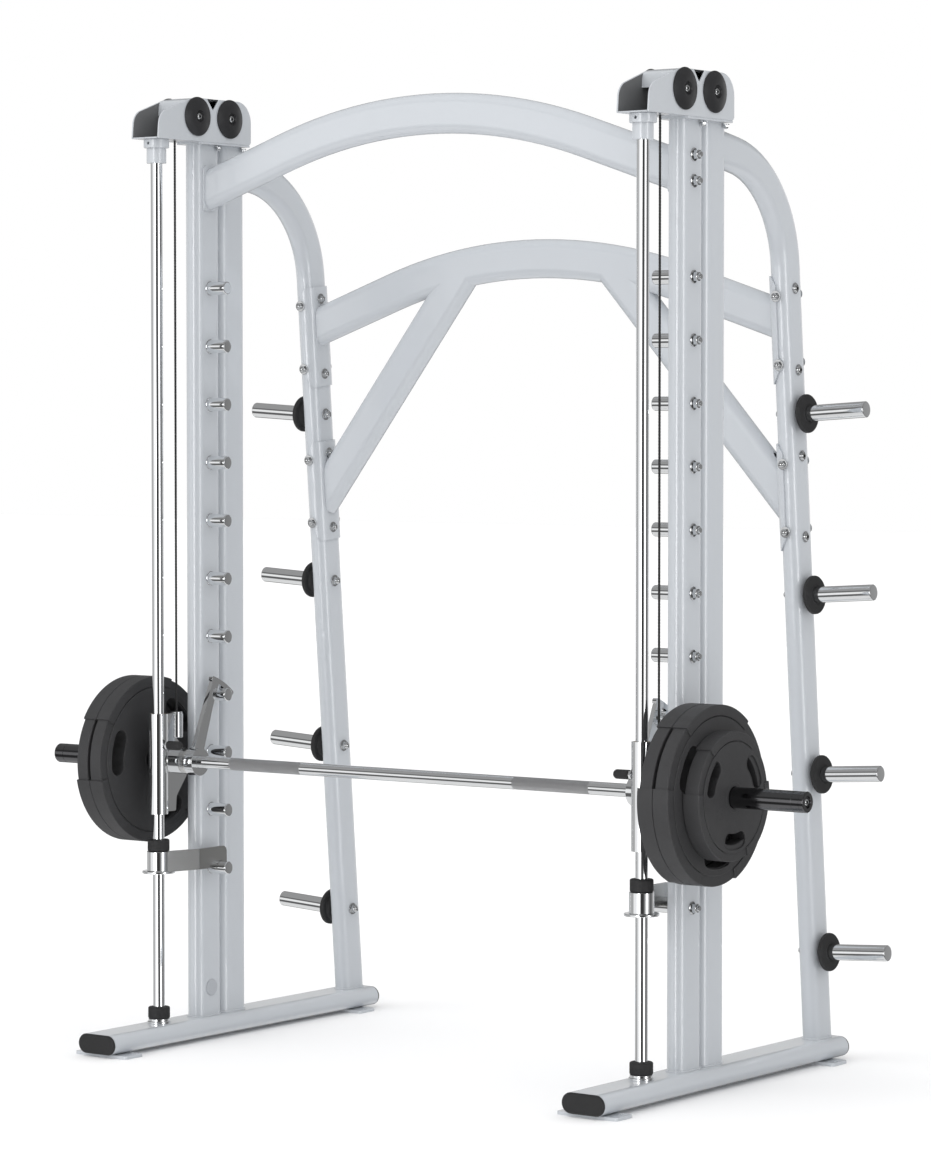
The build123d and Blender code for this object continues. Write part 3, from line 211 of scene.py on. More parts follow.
PAINT = surface("silver_powder_coat", (0.545, 0.572, 0.605), 0.30, coat=1.0, mottle=0.018,
                mottle_scale=5.0, rough_spread=0.05, grain_scale=700.0, grain_height=0.05)
HEAD_PAINT = surface("silver_cover_paint", (0.53, 0.555, 0.585), 0.32, coat=0.8, mottle=0.02,
                     mottle_scale=14.0, grain_scale=1100.0, grain_height=0.04)
# Painted shade: a dark grey for the inner faces of the head cheeks, where the inside of the housing lies in
# shade.
CHEEK_SHADE = surface("painted_shade_cheek_inside", (0.155, 0.158, 0.162), 0.6, mottle=0.10, mottle_scale=260.0,
                 grain_scale=900.0, grain_height=0.12)
CHROME = surface("polished_chrome", (0.84, 0.85, 0.86), 0.07, metal=1.0, mottle=0.02, mottle_scale=20.0,
                 rough_spread=0.035, grain_scale=260.0, grain_height=0.01)
ROD_CHROME = surface("drawn_chrome", (0.84, 0.85, 0.86), 0.05, metal=1.0, mottle=0.02,
                     mottle_scale=30.0, rough_spread=0.02, grain_scale=60.0, grain_height=0.002,
                     stretch=(1, 1, 0.04))
SATIN = surface("satin_steel", (0.66, 0.66, 0.65), 0.24, metal=1.0, mottle=0.02, mottle_scale=24.0,
                rough_spread=0.04, grain_scale=500.0, grain_height=0.003, stretch=(0.3, 0.3, 1))
ZINC = surface("bright_zinc", (0.66, 0.67, 0.68), 0.14, metal=1.0, mottle=0.07, mottle_scale=120.0,
               rough_spread=0.08, grain_scale=900.0, grain_height=0.02)
# Painted shade: the drive recesses of the screw heads get a near-black colour for the shade inside them.
RECESS_SHADE = surface("drive_recess_shade", (0.05, 0.05, 0.052), 0.5, metal=0.6, mottle=0.1, mottle_scale=200.0)
RUBBER = surface("black_rubber", (0.020, 0.020, 0.021), 0.62, mottle=0.16, mottle_scale=40.0,
                 rough_spread=0.1, grain_scale=1300.0, grain_height=0.12)
PLATE_RUBBER = surface("plate_rubber", (0.040, 0.040, 0.042), 0.55, mottle=0.12, mottle_scale=30.0,
                       rough_spread=0.08, grain_scale=1500.0, grain_height=0.16)
PLASTIC = surface("black_plastic", (0.022, 0.022, 0.024), 0.38, mottle=0.1, mottle_scale=60.0,
                  rough_spread=0.07, grain_scale=1600.0, grain_height=0.07)
GREY_PLASTIC = surface("grey_plastic", (0.42, 0.44, 0.47), 0.4, mottle=0.05, mottle_scale=80.0,
                       rough_spread=0.06, grain_scale=1500.0, grain_height=0.05)
BLACK_NICKEL = surface("black_nickel", (0.135, 0.135, 0.140), 0.13, metal=1.0, mottle=0.08,
                       mottle_scale=26.0, rough_spread=0.05, grain_scale=500.0, grain_height=0.01,
                       stretch=(0.05, 1, 1))
IRON = surface("painted_iron", (0.07, 0.07, 0.072), 0.6, mottle=0.2, mottle_scale=40.0,
               rough_spread=0.1, grain_scale=400.0, grain_height=0.3)
BRONZE = surface("bearing_bronze", (0.50, 0.36, 0.20), 0.35, metal=1.0, mottle=0.12,
                 mottle_scale=90.0, grain_scale=900.0, grain_height=0.03)


def bump_from_height(made, height, distance):
    """Puts a relief in front of a material's own grain."""
    tree = made.node_tree
    fine = next(n for n in tree.nodes if n.type == "BUMP")
    relief = new_node(tree, "ShaderNodeBump", Strength=1.0, Distance=distance)
    wire(tree, height, relief.inputs["Height"])
    wire(tree, relief.outputs["Normal"], fine.inputs["Normal"])


def crossed_ridges(made, centre, per_metre, turns):
    """Height of sine ridges that wind both ways round the X axis and cross in diamonds."""
    tree = made.node_tree
    place = next(n for n in tree.nodes if n.type == "TEX_COORD")
    shift = new_node(tree, "ShaderNodeVectorMath")
    shift.operation = "SUBTRACT"
    shift.inputs[1].default_value = centre
    wire(tree, place.outputs["Object"], shift.inputs[0])
    parts = new_node(tree, "ShaderNodeSeparateXYZ")
    wire(tree, shift.outputs[0], parts.inputs[0])
    angle = maths(tree, "ARCTAN2", parts.outputs["Y"], parts.outputs["Z"])
    along = maths(tree, "MULTIPLY", parts.outputs["X"], per_metre * math.tau)
    ridges = []
    for hand in (1, -1):
        phase = maths(tree, "MULTIPLY_ADD", angle, hand * turns, along)
        ridges.append(maths(tree, "MULTIPLY_ADD", maths(tree, "SINE", phase), 0.5, 0.5))
    return maths(tree, "MULTIPLY", *ridges)


KNURL = surface("knurled_chrome", (0.60, 0.60, 0.61), 0.42, metal=1.0, mottle=0.05, mottle_scale=90.0,
                rough_spread=0.08)
bump_from_height(KNURL, crossed_ridges(KNURL, BAR, 520.0, 60), 0.45 * MM)


def paint_node(node, made):
    """Gives a CAD node its material."""
    slots = frame["nodes"][node].data.materials
    slots.clear()
    slots.append(made)


# ---------------------------------------------------------------- mesh tools
def facing(origin, axis):
    """Matrix that stands local +Z along `axis` at `origin`, local +Y as near upright as it can be."""
    z = Vector(axis).normalized()
    hint = Vector((0, 0, 1))
    if abs(z.dot(hint)) > 0.99:
        hint = Vector((0, 1, 0))
    x = hint.cross(z).normalized()
    y = z.cross(x)
    turn = Matrix((x, y, z)).transposed().to_4x4()
    return Matrix.Translation(Vector(origin)) @ turn


def rounded(points, radii, closed=False, steps=5):
    """Polyline with its corners turned into arcs of the given radii."""
    made = []
    count = len(points)
    for i, (point, radius) in enumerate(zip(points, radii)):
        corner = Vector(point)
        if radius == 0 or (not closed and i in (0, count - 1)):
            made.append(corner)
            continue
        back = Vector(points[i - 1]) - corner
        ahead = Vector(points[(i + 1) % count]) - corner
        half = back.angle(ahead) / 2
        reach = min(radius / math.tan(half), 0.49 * back.length, 0.49 * ahead.length)
        back.normalize()
        ahead.normalize()
        size = reach * math.tan(half)
        centre = corner + (back + ahead).normalized() * (size / math.sin(half))
        start = corner + back * reach - centre
        end = corner + ahead * reach - centre
        for k in range(steps + 1):
            share = k / steps
            made.append(centre + (start * (1 - share) + end * share).normalized() * size)
    return made


def circle(radius, count):
    return [Vector((radius * math.cos(math.tau * k / count),
                    radius * math.sin(math.tau * k / count))) for k in range(count)]


def arc(radius, start, end, count):
    return [Vector((radius * math.cos(start + (end - start) * k / count),
                    radius * math.sin(start + (end - start) * k / count))) for k in range(count + 1)]


def stadium(length, width, count):
    """Outline of a flat-oval section, its long side along local X."""
    flat = (length - width) / 2
    right = [p + Vector((flat, 0)) for p in arc(width / 2, -math.pi / 2, math.pi / 2, count)]
    return right + [-p for p in right]


def bean(mid, sweep, width, angle, count=14):
    """Outline of a slot curved round the origin."""
    half = width / 2
    first, last = angle - sweep / 2, angle + sweep / 2
    outline = arc(mid + half, first, last, count)
    for at, way in ((last, 1), (first, -1)):
        end = Vector((mid * math.cos(at), mid * math.sin(at)))
        turned = at if way > 0 else at + math.pi
        outline += [end + p for p in arc(half, turned, turned + math.pi, count)[1:-1]]
        if way > 0:
            outline += arc(mid - half, last, first, count)
    return outline


class Piece:
    """A mesh gathered from turned, cut and swept solids."""

    def __init__(self):
        self.mesh = bmesh.new()

    def turn(self, place, profile, steps=48, material=0):
        """Solid or shell turned from (radius, height) points round the local Z of `place`."""
        rings = []
        for radius, height in profile:
            if radius < 0.01 * MM:
                rings.append([self.mesh.verts.new(place @ Vector((0, 0, height)))])
                continue
            ring = []
            for k in range(steps):
                angle = math.tau * k / steps
                spot = Vector((radius * math.cos(angle), radius * math.sin(angle), height))
                ring.append(self.mesh.verts.new(place @ spot))
            rings.append(ring)
        faces = []
        for low, high in zip(rings, rings[1:]):
            for k in range(steps):
                after = (k + 1) % steps
                if len(low) == 1:
                    corners = (low[0], high[after], high[k])
                elif len(high) == 1:
                    corners = (low[k], low[after], high[0])
                else:
                    corners = (low[k], low[after], high[after], high[k])
                if len(low) > 1 or len(high) > 1:
                    faces.append(self.mesh.faces.new(corners))
        for face in faces:
            face.material_index = material

    def cut(self, place, outlines, thickness, edge, fineness=2):
        """Flat body cut from closed outlines, centred on the local XY plane, with rounded edges."""
        curve = bpy.data.curves.new("outline", "CURVE")
        curve.dimensions = "2D"
        curve.fill_mode = "BOTH"
        curve.extrude = thickness / 2 - edge
        curve.bevel_depth = edge
        curve.bevel_resolution = fineness
        curve.offset = -edge
        for outline in outlines:
            spline = curve.splines.new("POLY")
            spline.points.add(len(outline) - 1)
            for point, spot in zip(spline.points, outline):
                point.co = (spot[0], spot[1], 0, 1)
            spline.use_cyclic_u = True
        self.take(curve, place)

    def take(self, curve, place):
        """Adds the mesh of a curve or text."""
        holder = bpy.data.objects.new("outline", curve)
        bpy.context.scene.collection.objects.link(holder)
        depsgraph = bpy.context.evaluated_depsgraph_get()
        flat = bpy.data.meshes.new_from_object(holder.evaluated_get(depsgraph))
        flat.transform(place)
        self.mesh.from_mesh(flat)
        bpy.data.objects.remove(holder)
        bpy.data.curves.remove(curve)
        bpy.data.meshes.remove(flat)

    def ring_sweep(self, points, radius, sides, ripple, waves):
        """Round bead along a closed line of points, its thickness rippled like a run of weld."""
        count = len(points)
        rings = []
        for i, point in enumerate(points):
            place = facing(point, points[(i + 1) % count] - points[i - 1])
            size = radius * (1 + ripple * math.sin(math.tau * waves * i / count))
            ring = []
            for k in range(sides):
                angle = math.tau * k / sides
                ring.append(self.mesh.verts.new(place @ Vector((size * math.cos(angle),
                                                                size * math.sin(angle), 0))))
            rings.append(ring)
        for low, high in zip(rings, rings[1:] + rings[:1]):
            self.band(low, high)

    def band(self, low, high):
        """Faces between two rings of equal count."""
        for k in range(len(low)):
            after = (k + 1) % len(low)
            self.mesh.faces.new((low[k], low[after], high[after], high[k]))

    def done(self, name, body, slot, materials, replaced=(), sharp=34.0):
        """Turns the gathered mesh into a named piece that rides on a CAD body."""
        bmesh.ops.recalc_face_normals(self.mesh, faces=self.mesh.faces)
        for face in self.mesh.faces:
            face.smooth = True
        for edge in self.mesh.edges:
            if len(edge.link_faces) == 2:
                edge.smooth = edge.calc_face_angle(0) < math.radians(sharp)
        data = bpy.data.meshes.new(name)
        self.mesh.to_mesh(data)
        self.mesh.free()
        for made in materials:
            data.materials.append(made)
        piece = bpy.data.objects.new(name, data)
        bpy.context.scene.collection.objects.link(piece)
        shading = piece.modifiers.new("even_shading", "WEIGHTED_NORMAL")
        shading.keep_sharp = True
        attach(piece, body)
        if replaced:
            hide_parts(*replaced)
        return piece


def softened(node, name, body, slot, made, width):
    """Copy of a CAD node whose sharp edges are rounded, shown in its place."""
    piece = Piece()
    piece.mesh.from_mesh(frame["nodes"][node].data)
    bmesh.ops.remove_doubles(piece.mesh, verts=piece.mesh.verts, dist=0.01 * MM)
    bmesh.ops.dissolve_limit(piece.mesh, angle_limit=math.radians(0.6), verts=piece.mesh.verts,
                             edges=piece.mesh.edges)
    for face in piece.mesh.faces:
        face.material_index = 0
    shown = piece.done(name, body, slot, (made,), (node,), sharp=24.0)
    edge = shown.modifiers.new("rounded_edges", "BEVEL")
    edge.width = width
    edge.segments = 2
    edge.limit_method = "ANGLE"
    edge.angle_limit = math.radians(42)
    edge.harden_normals = True
    return shown


# ---------------------------------------------------------------- fasteners
def washer(piece, place, radius, thickness):
    lip = min(0.25 * thickness, 0.6 * MM)
    profile = rounded([(0, 0), (radius, 0), (radius, thickness), (0, thickness)], (0, lip, lip, 0), steps=2)
    piece.turn(place, profile, 32)


def raised(place, height):
    """The same place, moved up its own Z."""
    return place @ Matrix.Translation((0, 0, height))


def button_head(piece, place, radius, height, drive, material=0, recess=1):
    """Domed screw head with a hexagon recess."""
    dome = []
    last = math.radians(78)
    for k in range(7):
        angle = last * k / 6
        rise = height * math.sin(angle) / math.sin(last)
        dome.append((drive + (radius - drive) * math.cos(angle) ** 0.9, rise))
    dome.append((drive, height))
    piece.turn(place, [(radius, -0.2 * MM)] + dome, 32, material)
    depth = 0.62 * height
    piece.turn(place, [(drive * 1.02, height), (drive * 0.94, height - 0.3 * MM),
                       (drive * 0.94, height - depth), (0, height - depth)], 6, recess)


def acorn_nut(piece, place, across, height):
    """Hexagon nut with a domed end."""
    hexa = 0.5 * height
    piece.turn(place, rounded([(0, 0), (across, 0), (across, hexa), (0.8 * across, hexa)],
                              (0, 0.6 * MM, 0.9 * MM, 0), steps=2), 6)
    dome = []
    for k in range(8):
        angle = math.pi / 2 * k / 7
        dome.append((0.8 * across * math.cos(angle), hexa + (height - hexa) * math.sin(angle)))
    piece.turn(place, dome, 24)


def stud_nut(piece, place, bore):
    """Flange nut with the stud's rounded end standing out of it."""
    piece.turn(place, rounded([(0, 0), (2 * bore, 0), (2 * bore, 1.8 * MM), (1.62 * bore, 3.4 * MM)],
                              (0, 0.5 * MM, 1.2 * MM, 0), steps=3), 32)
    piece.turn(place, rounded([(1.4 * bore, 2 * MM), (1.55 * bore, 3 * MM), (1.55 * bore, 14.5 * MM),
                               (1.2 * bore, 16 * MM), (0.9 * bore, 16 * MM)],
                              (0, 0.5 * MM, 1.6 * MM, 0.8 * MM, 0), steps=3), 6)
    piece.turn(place, rounded([(0.92 * bore, 15 * MM), (0.92 * bore, 20 * MM), (0.7 * bore, 22 * MM),
                               (0, 22 * MM)], (0, 0.5 * MM, 1.2 * MM, 0), steps=3), 24)


# Through bolts on the leaning legs: a screw head on the outer end of the crosswise bolts, cap nuts on every
# other end.
bolts = Piece()
BOLT_STACK = 15.2 * MM      # washer and nut, out from the leg
for low, high, centre, outward in sided("saddle_bolts"):
    crosswise = high.x - low.x > high.y - low.y
    axis = Vector((outward, 0, 0)) if crosswise else -ACROSS_LEG
    reach = (high.x - low.x) / 2 if crosswise else (high.y - low.y) / 2 / math.cos(LEG_LEAN)
    seat = reach - BOLT_STACK
    for way in (1, -1):
        face = facing(centre + way * axis * seat, way * axis)
        washer(bolts, face, 14 * MM, 2.6 * MM)
        over = raised(face, 2.6 * MM)
        if crosswise and way > 0:
            button_head(bolts, over, 11 * MM, 6.4 * MM, 4.2 * MM)
        else:
            acorn_nut(bolts, over, 9.6 * MM, 12 * MM)
bolts.done("leg_bolt_heads", "frame", "zinc", (ZINC, RECESS_SHADE), ("saddle_bolts",))

arch_bolts = Piece()
ARCH_BOLT_STACK = 17.4 * MM
for low, high, centre, outward in sided("front_arch_bolts"):
    for way in (1, -1):
        end = high.x if way * outward > 0 else low.x
        face = facing((end - way * outward * ARCH_BOLT_STACK, centre.y, centre.z), (way * outward, 0, 0))
        if way > 0:
            stud_nut(arch_bolts, face, 8 * MM)
        else:
            washer(arch_bolts, face, 16 * MM, 3 * MM)
            button_head(arch_bolts, raised(face, 3 * MM), 13 * MM, 7.5 * MM, 5 * MM)
arch_bolts.done("arch_bolt_heads", "frame", "zinc", (ZINC, RECESS_SHADE), ("front_arch_bolts",))

nuts = Piece()
for low, high, centre, outward in sided("peg_nuts"):
    seat = low.x if outward > 0 else high.x
    stud_nut(nuts, facing((seat, centre.y, centre.z), (outward, 0, 0)), 8 * MM)
nuts.done("peg_nut_set", "frame", "zinc", (ZINC,), ("peg_nuts",))

inner_nuts = Piece()
for low, high, centre, outward in sided("horn_nuts"):
    seat = high.x if outward > 0 else low.x
    face = facing((seat, centre.y, centre.z), (-outward, 0, 0))
    washer(inner_nuts, face, 15.5 * MM, 3 * MM)
    acorn_nut(inner_nuts, raised(face, 3 * MM), 11.5 * MM, 15 * MM)
inner_nuts.done("horn_nut_set", "frame", "zinc", (ZINC,), ("horn_nuts",))

screws = Piece()
for low, high, centre, _ in sided("head_bolts"):
    under = facing((centre.x, centre.y, low.z + 8 * MM), (0, 0, -1))
    over = facing((centre.x, centre.y, high.z - 6 * MM), (0, 0, 1))
    washer(screws, under, 8.6 * MM, 1.6 * MM)
    acorn_nut(screws, raised(under, 1.6 * MM), 7.4 * MM, 10 * MM)
    washer(screws, over, 8.6 * MM, 1.4 * MM)
    button_head(screws, raised(over, 1.4 * MM), 7 * MM, 4.4 * MM, 3 * MM)
screws.done("head_screw_set", "frame", "zinc", (ZINC, RECESS_SHADE), ("head_bolts",))

# ---------------------------------------------------------------- pulley housings
CHEEK = 4 * MM
head_y0, head_y1 = HEAD_BOX[0].y, HEAD_BOX[1].y
head_z0, head_z1 = HEAD_BOX[0].z, HEAD_BOX[1].z
HEAD_HALF = HEAD_BOX[1].x - SIDE_X
COVER_Y = head_y0 + 105 * MM
pulley_spots = [middle(f"{place}_pulley_left") for place in ("front", "rear")]
NOTCH_Y = (pulley_spots[0].y + pulley_spots[1].y) / 2
NOTCH_HALF = 24 * MM
NOTCH_DEPTH = 29 * MM
HEAD_CORNERS = [(head_y0, head_z0), (head_y0 + 6 * MM, head_z0 + 65 * MM), (head_y0 + 136 * MM, head_z1),
                (head_y1, head_z1), (head_y1, head_z0)]
HEAD_RADII = [r * MM for r in (3, 42, 150, 62, 10)]

head_outline = rounded(HEAD_CORNERS, HEAD_RADII, closed=True, steps=12)


def notched(outline, top):
    """Cheek outline with a V cut down from its top edge."""
    left, right = NOTCH_Y - NOTCH_HALF, NOTCH_Y + NOTCH_HALF
    kept = []
    done = False
    for spot in outline:
        on_top = spot.y > top - 5 * MM
        inside = on_top and left < spot.x < right
        if on_top and spot.x > NOTCH_Y and not done:
            kept += rounded([(left, top), (NOTCH_Y, top - NOTCH_DEPTH), (right, top)], (0, 3 * MM, 0))
            done = True
        if not inside:
            kept.append(spot)
    return kept


heads = Piece()
for side, sx in SIDES:
    for way in (-1, 1):
        cheek = Matrix(((0, 0, 1, sx * SIDE_X + way * (HEAD_HALF - CHEEK / 2)), (1, 0, 0, 0),
                        (0, 1, 0, 0), (0, 0, 0, 1)))
        heads.cut(cheek, [notched(head_outline, head_z1)], CHEEK, 1.5 * MM)
    # The sheet that wraps over the top and down the back, from the cover's lip to the floor's front.
    wrap = [p for p in head_outline if p.x > COVER_Y or p.y < head_z0 + 12 * MM]
    start = next(i for i, p in enumerate(wrap) if p.x > COVER_Y and p.y > head_z0 + 60 * MM)
    path = wrap[start:] + wrap[:start]
    lip = [Vector((COVER_Y - 4 * MM, head_z1 - 46 * MM)), Vector((COVER_Y - 3 * MM, head_z1 - 26 * MM)),
           Vector((COVER_Y + 1 * MM, head_z1 - 13 * MM))]
    path = lip + path
    skin = []
    for i, spot in enumerate(path):
        along = path[min(i + 1, len(path) - 1)] - path[max(i - 1, 0)]
        normal = Vector((along.y, -along.x)).normalized()
        skin.append((spot, spot + normal * CHEEK))
    half = HEAD_HALF - CHEEK - 0.2 * MM
    rows = []
    for outer, inner in skin:
        rows.append([heads.mesh.verts.new((sx * SIDE_X + way * half, spot.x, spot.y))
                     for spot in (outer, inner) for way in (-1, 1)])
    for a, b in zip(rows, rows[1:]):
        for i, j in ((0, 1), (3, 2)):
            heads.mesh.faces.new((a[i], a[j], b[j], b[i]))
    for row in (rows[0], rows[-1]):
        heads.mesh.faces.new((row[0], row[1], row[3], row[2]))
# The cheeks' inner faces get a dark grey of painted shade, which stands in for the shade inside the housing.
for face in heads.mesh.faces:
    inward = HEAD_HALF - CHEEK - abs(abs(face.calc_center_median().x) - SIDE_X)
    if abs(inward) < 0.05 * MM:
        face.material_index = 1
heads.done("pulley_head_covers", "frame", "frame_paint", (HEAD_PAINT, CHEEK_SHADE), ("pulley_housings",))

caps = Piece()
CAP_RADIUS = 50 * MM
CAP_RIM = 3.2 * MM
CAP_CROWN = 18 * MM         # radius where the dome is at its full height
CAP_HEIGHT = 11.3 * MM
CAP_WELL = 5.5 * MM
for side, sx in SIDES:
    for spot in pulley_spots:
        for way in (-1, 1):
            face = facing((sx * SIDE_X + way * HEAD_HALF, spot.y, spot.z), (way, 0, 0))
            dome = [(CAP_RADIUS - 1 * MM, 0), (CAP_RADIUS, 1.2 * MM), (CAP_RADIUS, CAP_RIM)]
            for k in range(1, 9):
                share = k / 8
                dome.append((CAP_RADIUS - share * (CAP_RADIUS - CAP_CROWN),
                             CAP_RIM + (CAP_HEIGHT - CAP_RIM) * math.sin(share * math.pi / 2)))
            dome += rounded([(CAP_CROWN, CAP_HEIGHT), (16 * MM, CAP_HEIGHT), (13.5 * MM, CAP_WELL),
                             (9 * MM, CAP_WELL)], (0, 1 * MM, 1 * MM, 0), steps=3)[1:]
            caps.turn(face, dome, 72)
caps.done("pulley_cap_discs", "frame", "black_plastic", (PLASTIC,), ("pulley_caps",))

axles = Piece()
for side, sx in SIDES:
    for spot in pulley_spots:
        axles.turn(facing((sx * SIDE_X - HEAD_HALF, spot.y, spot.z), (1, 0, 0)),
                   [(0, 0), (6 * MM, 0), (6 * MM, 2 * HEAD_HALF), (0, 2 * HEAD_HALF)], 24)
        for way in (-1, 1):
            face = facing((sx * SIDE_X + way * (HEAD_HALF + 5 * MM), spot.y, spot.z), (way, 0, 0))
            button_head(axles, face, 9.4 * MM, 5.4 * MM, 3.6 * MM)
axles.done("pulley_axle_bolts", "frame", "zinc", (ZINC, RECESS_SHADE), ("pulley_axles",))

# ---------------------------------------------------------------- storage horns
DISC_RADIUS = 48 * MM
discs = Piece()
horn_tubes = Piece()
for mount in horns.values():
    seat = Vector(mount["pos_m"])
    axis = Vector(mount["axis"])
    radius = mount["dims"]["r_mm"] * MM
    root = seat - axis * ((abs(seat.x) - SIDE_X - POST_HALF) / abs(axis.x))
    far = root + axis * (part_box("storage_horns")[1].x - SIDE_X - POST_HALF) / abs(axis.x)
    span = (far - root).length - 1.3 * MM
    place = facing(root, axis)
    horn_tubes.turn(place, rounded([(0, -0.5 * MM), (radius, -0.5 * MM), (radius, span), (0, span)],
                                   (0, 0, 2.4 * MM, 0), steps=4), 48)
    groove = [(radius + 0.02 * MM, span - 9 * MM), (radius + 0.02 * MM, span - 8.4 * MM)]
    horn_tubes.turn(place, groove, 48)
    collar = rounded([(radius, 0.5 * MM), (24 * MM, 0.5 * MM), (31 * MM, 7 * MM), (35 * MM, 13 * MM),
                      (DISC_RADIUS, 15 * MM), (DISC_RADIUS, 27 * MM), (25 * MM, 27.5 * MM),
                      (radius + 1.5 * MM, 26 * MM), (radius, 26 * MM)],
                     [r * MM for r in (0, 3, 12, 4, 4, 5, 2, 1, 0)], steps=5)
    discs.turn(place, collar, 64)
horn_tubes.done("storage_horn_tubes", "frame", "chrome", (CHROME,), ("storage_horns",))
discs.done("storage_horn_discs", "frame", "black_rubber", (RUBBER,), ("horn_discs",))

# ---------------------------------------------------------------- rack pegs
pegs = Piece()
for low, high, centre, outward in sided("rack_pegs"):
    tip = low.x if outward > 0 else high.x
    radius = (high.y - low.y) / 2
    seat = outward * (SIDE_X - POST_HALF)
    place = facing((seat, centre.y, centre.z), (-outward, 0, 0))
    reach = abs(tip - seat)
    pegs.turn(place, rounded([(radius - 2 * MM, 0), (radius + 1.5 * MM, 0), (radius + 1.5 * MM, 2.5 * MM),
                              (radius, 3 * MM), (radius, reach), (0, reach)],
                             (0, 0, 0.8 * MM, 0, 3.2 * MM, 0), steps=4), 40)
pegs.done("rack_peg_set", "frame", "chrome", (CHROME,), ("rack_pegs",))

# ---------------------------------------------------------------- guide rod fittings
BLACK_RING_LIP = 4 * MM


def bumper_profile(inner, outer, height):
    """Rubber ring with a fine waist line and rounded edges."""
    lip = BLACK_RING_LIP
    waist = 0.4 * MM
    return rounded([(inner, 0), (outer, 0), (outer, 0.46 * height), (outer - waist, 0.5 * height),
                    (outer, 0.54 * height), (outer, height), (inner, height)],
                   (0, lip, waist, waist, waist, lip, 0), steps=4)


base_bumpers = Piece()
for low, high, centre, _ in sided("rod_base_bumpers"):
    base_bumpers.turn(facing((centre.x, ROD_Y, low.z), (0, 0, 1)),
                      bumper_profile(ROD_RADIUS, (high.y - low.y) / 2, high.z - low.z), 56)
base_bumpers.done("rod_base_rubbers", "frame", "black_rubber", (RUBBER,), ("rod_base_bumpers",))

sockets = Piece()
for low, high, centre, _ in sided("rod_base_sockets"):
    outer = (high.y - low.y) / 2
    neck = outer - 3 * MM
    height = high.z - low.z
    place = facing((centre.x, ROD_Y, low.z), (0, 0, 1))
    sockets.turn(place, rounded([(ROD_RADIUS, 0), (outer, 0), (outer, 0.45 * height), (neck, 0.5 * height),
                                 (neck, height), (ROD_RADIUS, height)],
                                (0, 0.8 * MM, 0.8 * MM, 0.8 * MM, 1.2 * MM, 0), steps=3), 56)
sockets.done("rod_base_seats", "frame", "chrome", (CHROME,), ("rod_base_sockets",))

for side, sx in SIDES:
    low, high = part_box(f"stop_bumper_{side}")
    rubber = Piece()
    rubber.turn(facing((sx * SIDE_X, ROD_Y, low.z), (0, 0, 1)),
                bumper_profile(ROD_RADIUS + 0.5 * MM, (high.y - low.y) / 2, high.z - low.z), 56)
    rubber.done(f"stop_rubber_{side}", f"stop_{side}", "black_rubber", (RUBBER,), (f"stop_bumper_{side}",))

    low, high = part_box(f"stop_collar_{side}")
    flange = (high.y - low.y) / 2
    height = high.z - low.z
    lip = 6 * MM
    body = 30 * MM
    bore = ROD_RADIUS + 0.3 * MM
    sleeve = Piece()
    sleeve.turn(facing((sx * SIDE_X, ROD_Y, low.z), (0, 0, 1)),
                rounded([(bore, 0), (flange, 0), (flange, lip), (body, lip), (body, height), (bore, height)],
                        [r * MM for r in (0, 1.5, 1.5, 1.5, 1.2, 0)], steps=4), 64)
    sleeve.done(f"stop_sleeve_{side}", f"stop_{side}", "chrome", (CHROME,), (f"stop_collar_{side}",))
    softened(f"stop_arm_{side}", f"stop_lever_{side}", f"stop_{side}", "zinc", SATIN, 1.0 * MM)

# ---------------------------------------------------------------- bar
KNURL_ZONES = ((-0.563, -0.335), (0.325, 0.548))      # X from and to
END_GROOVE = 0.7 * MM
bar_low, bar_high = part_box("bar")
shaft = Piece()
place = facing((0, BAR.y, BAR.z), (1, 0, 0))
stations = sorted([bar_low.x, bar_high.x] + [x for zone in KNURL_ZONES for x in zone])
for start, end in zip(stations, stations[1:]):
    knurled = (start, end) in KNURL_ZONES
    radius = BAR_RADIUS - (0.1 * MM if knurled else 0)
    ease = (0.8 if knurled else 0.5) * MM
    profile = [(BAR_RADIUS - END_GROOVE, start), (radius, start + ease), (radius, end - ease),
               (BAR_RADIUS - END_GROOVE, end)]
    shaft.turn(place, profile, 48, 1 if knurled else 0)
shaft.done("bar_shaft", "bar", "chrome", (CHROME, KNURL), ("bar",))

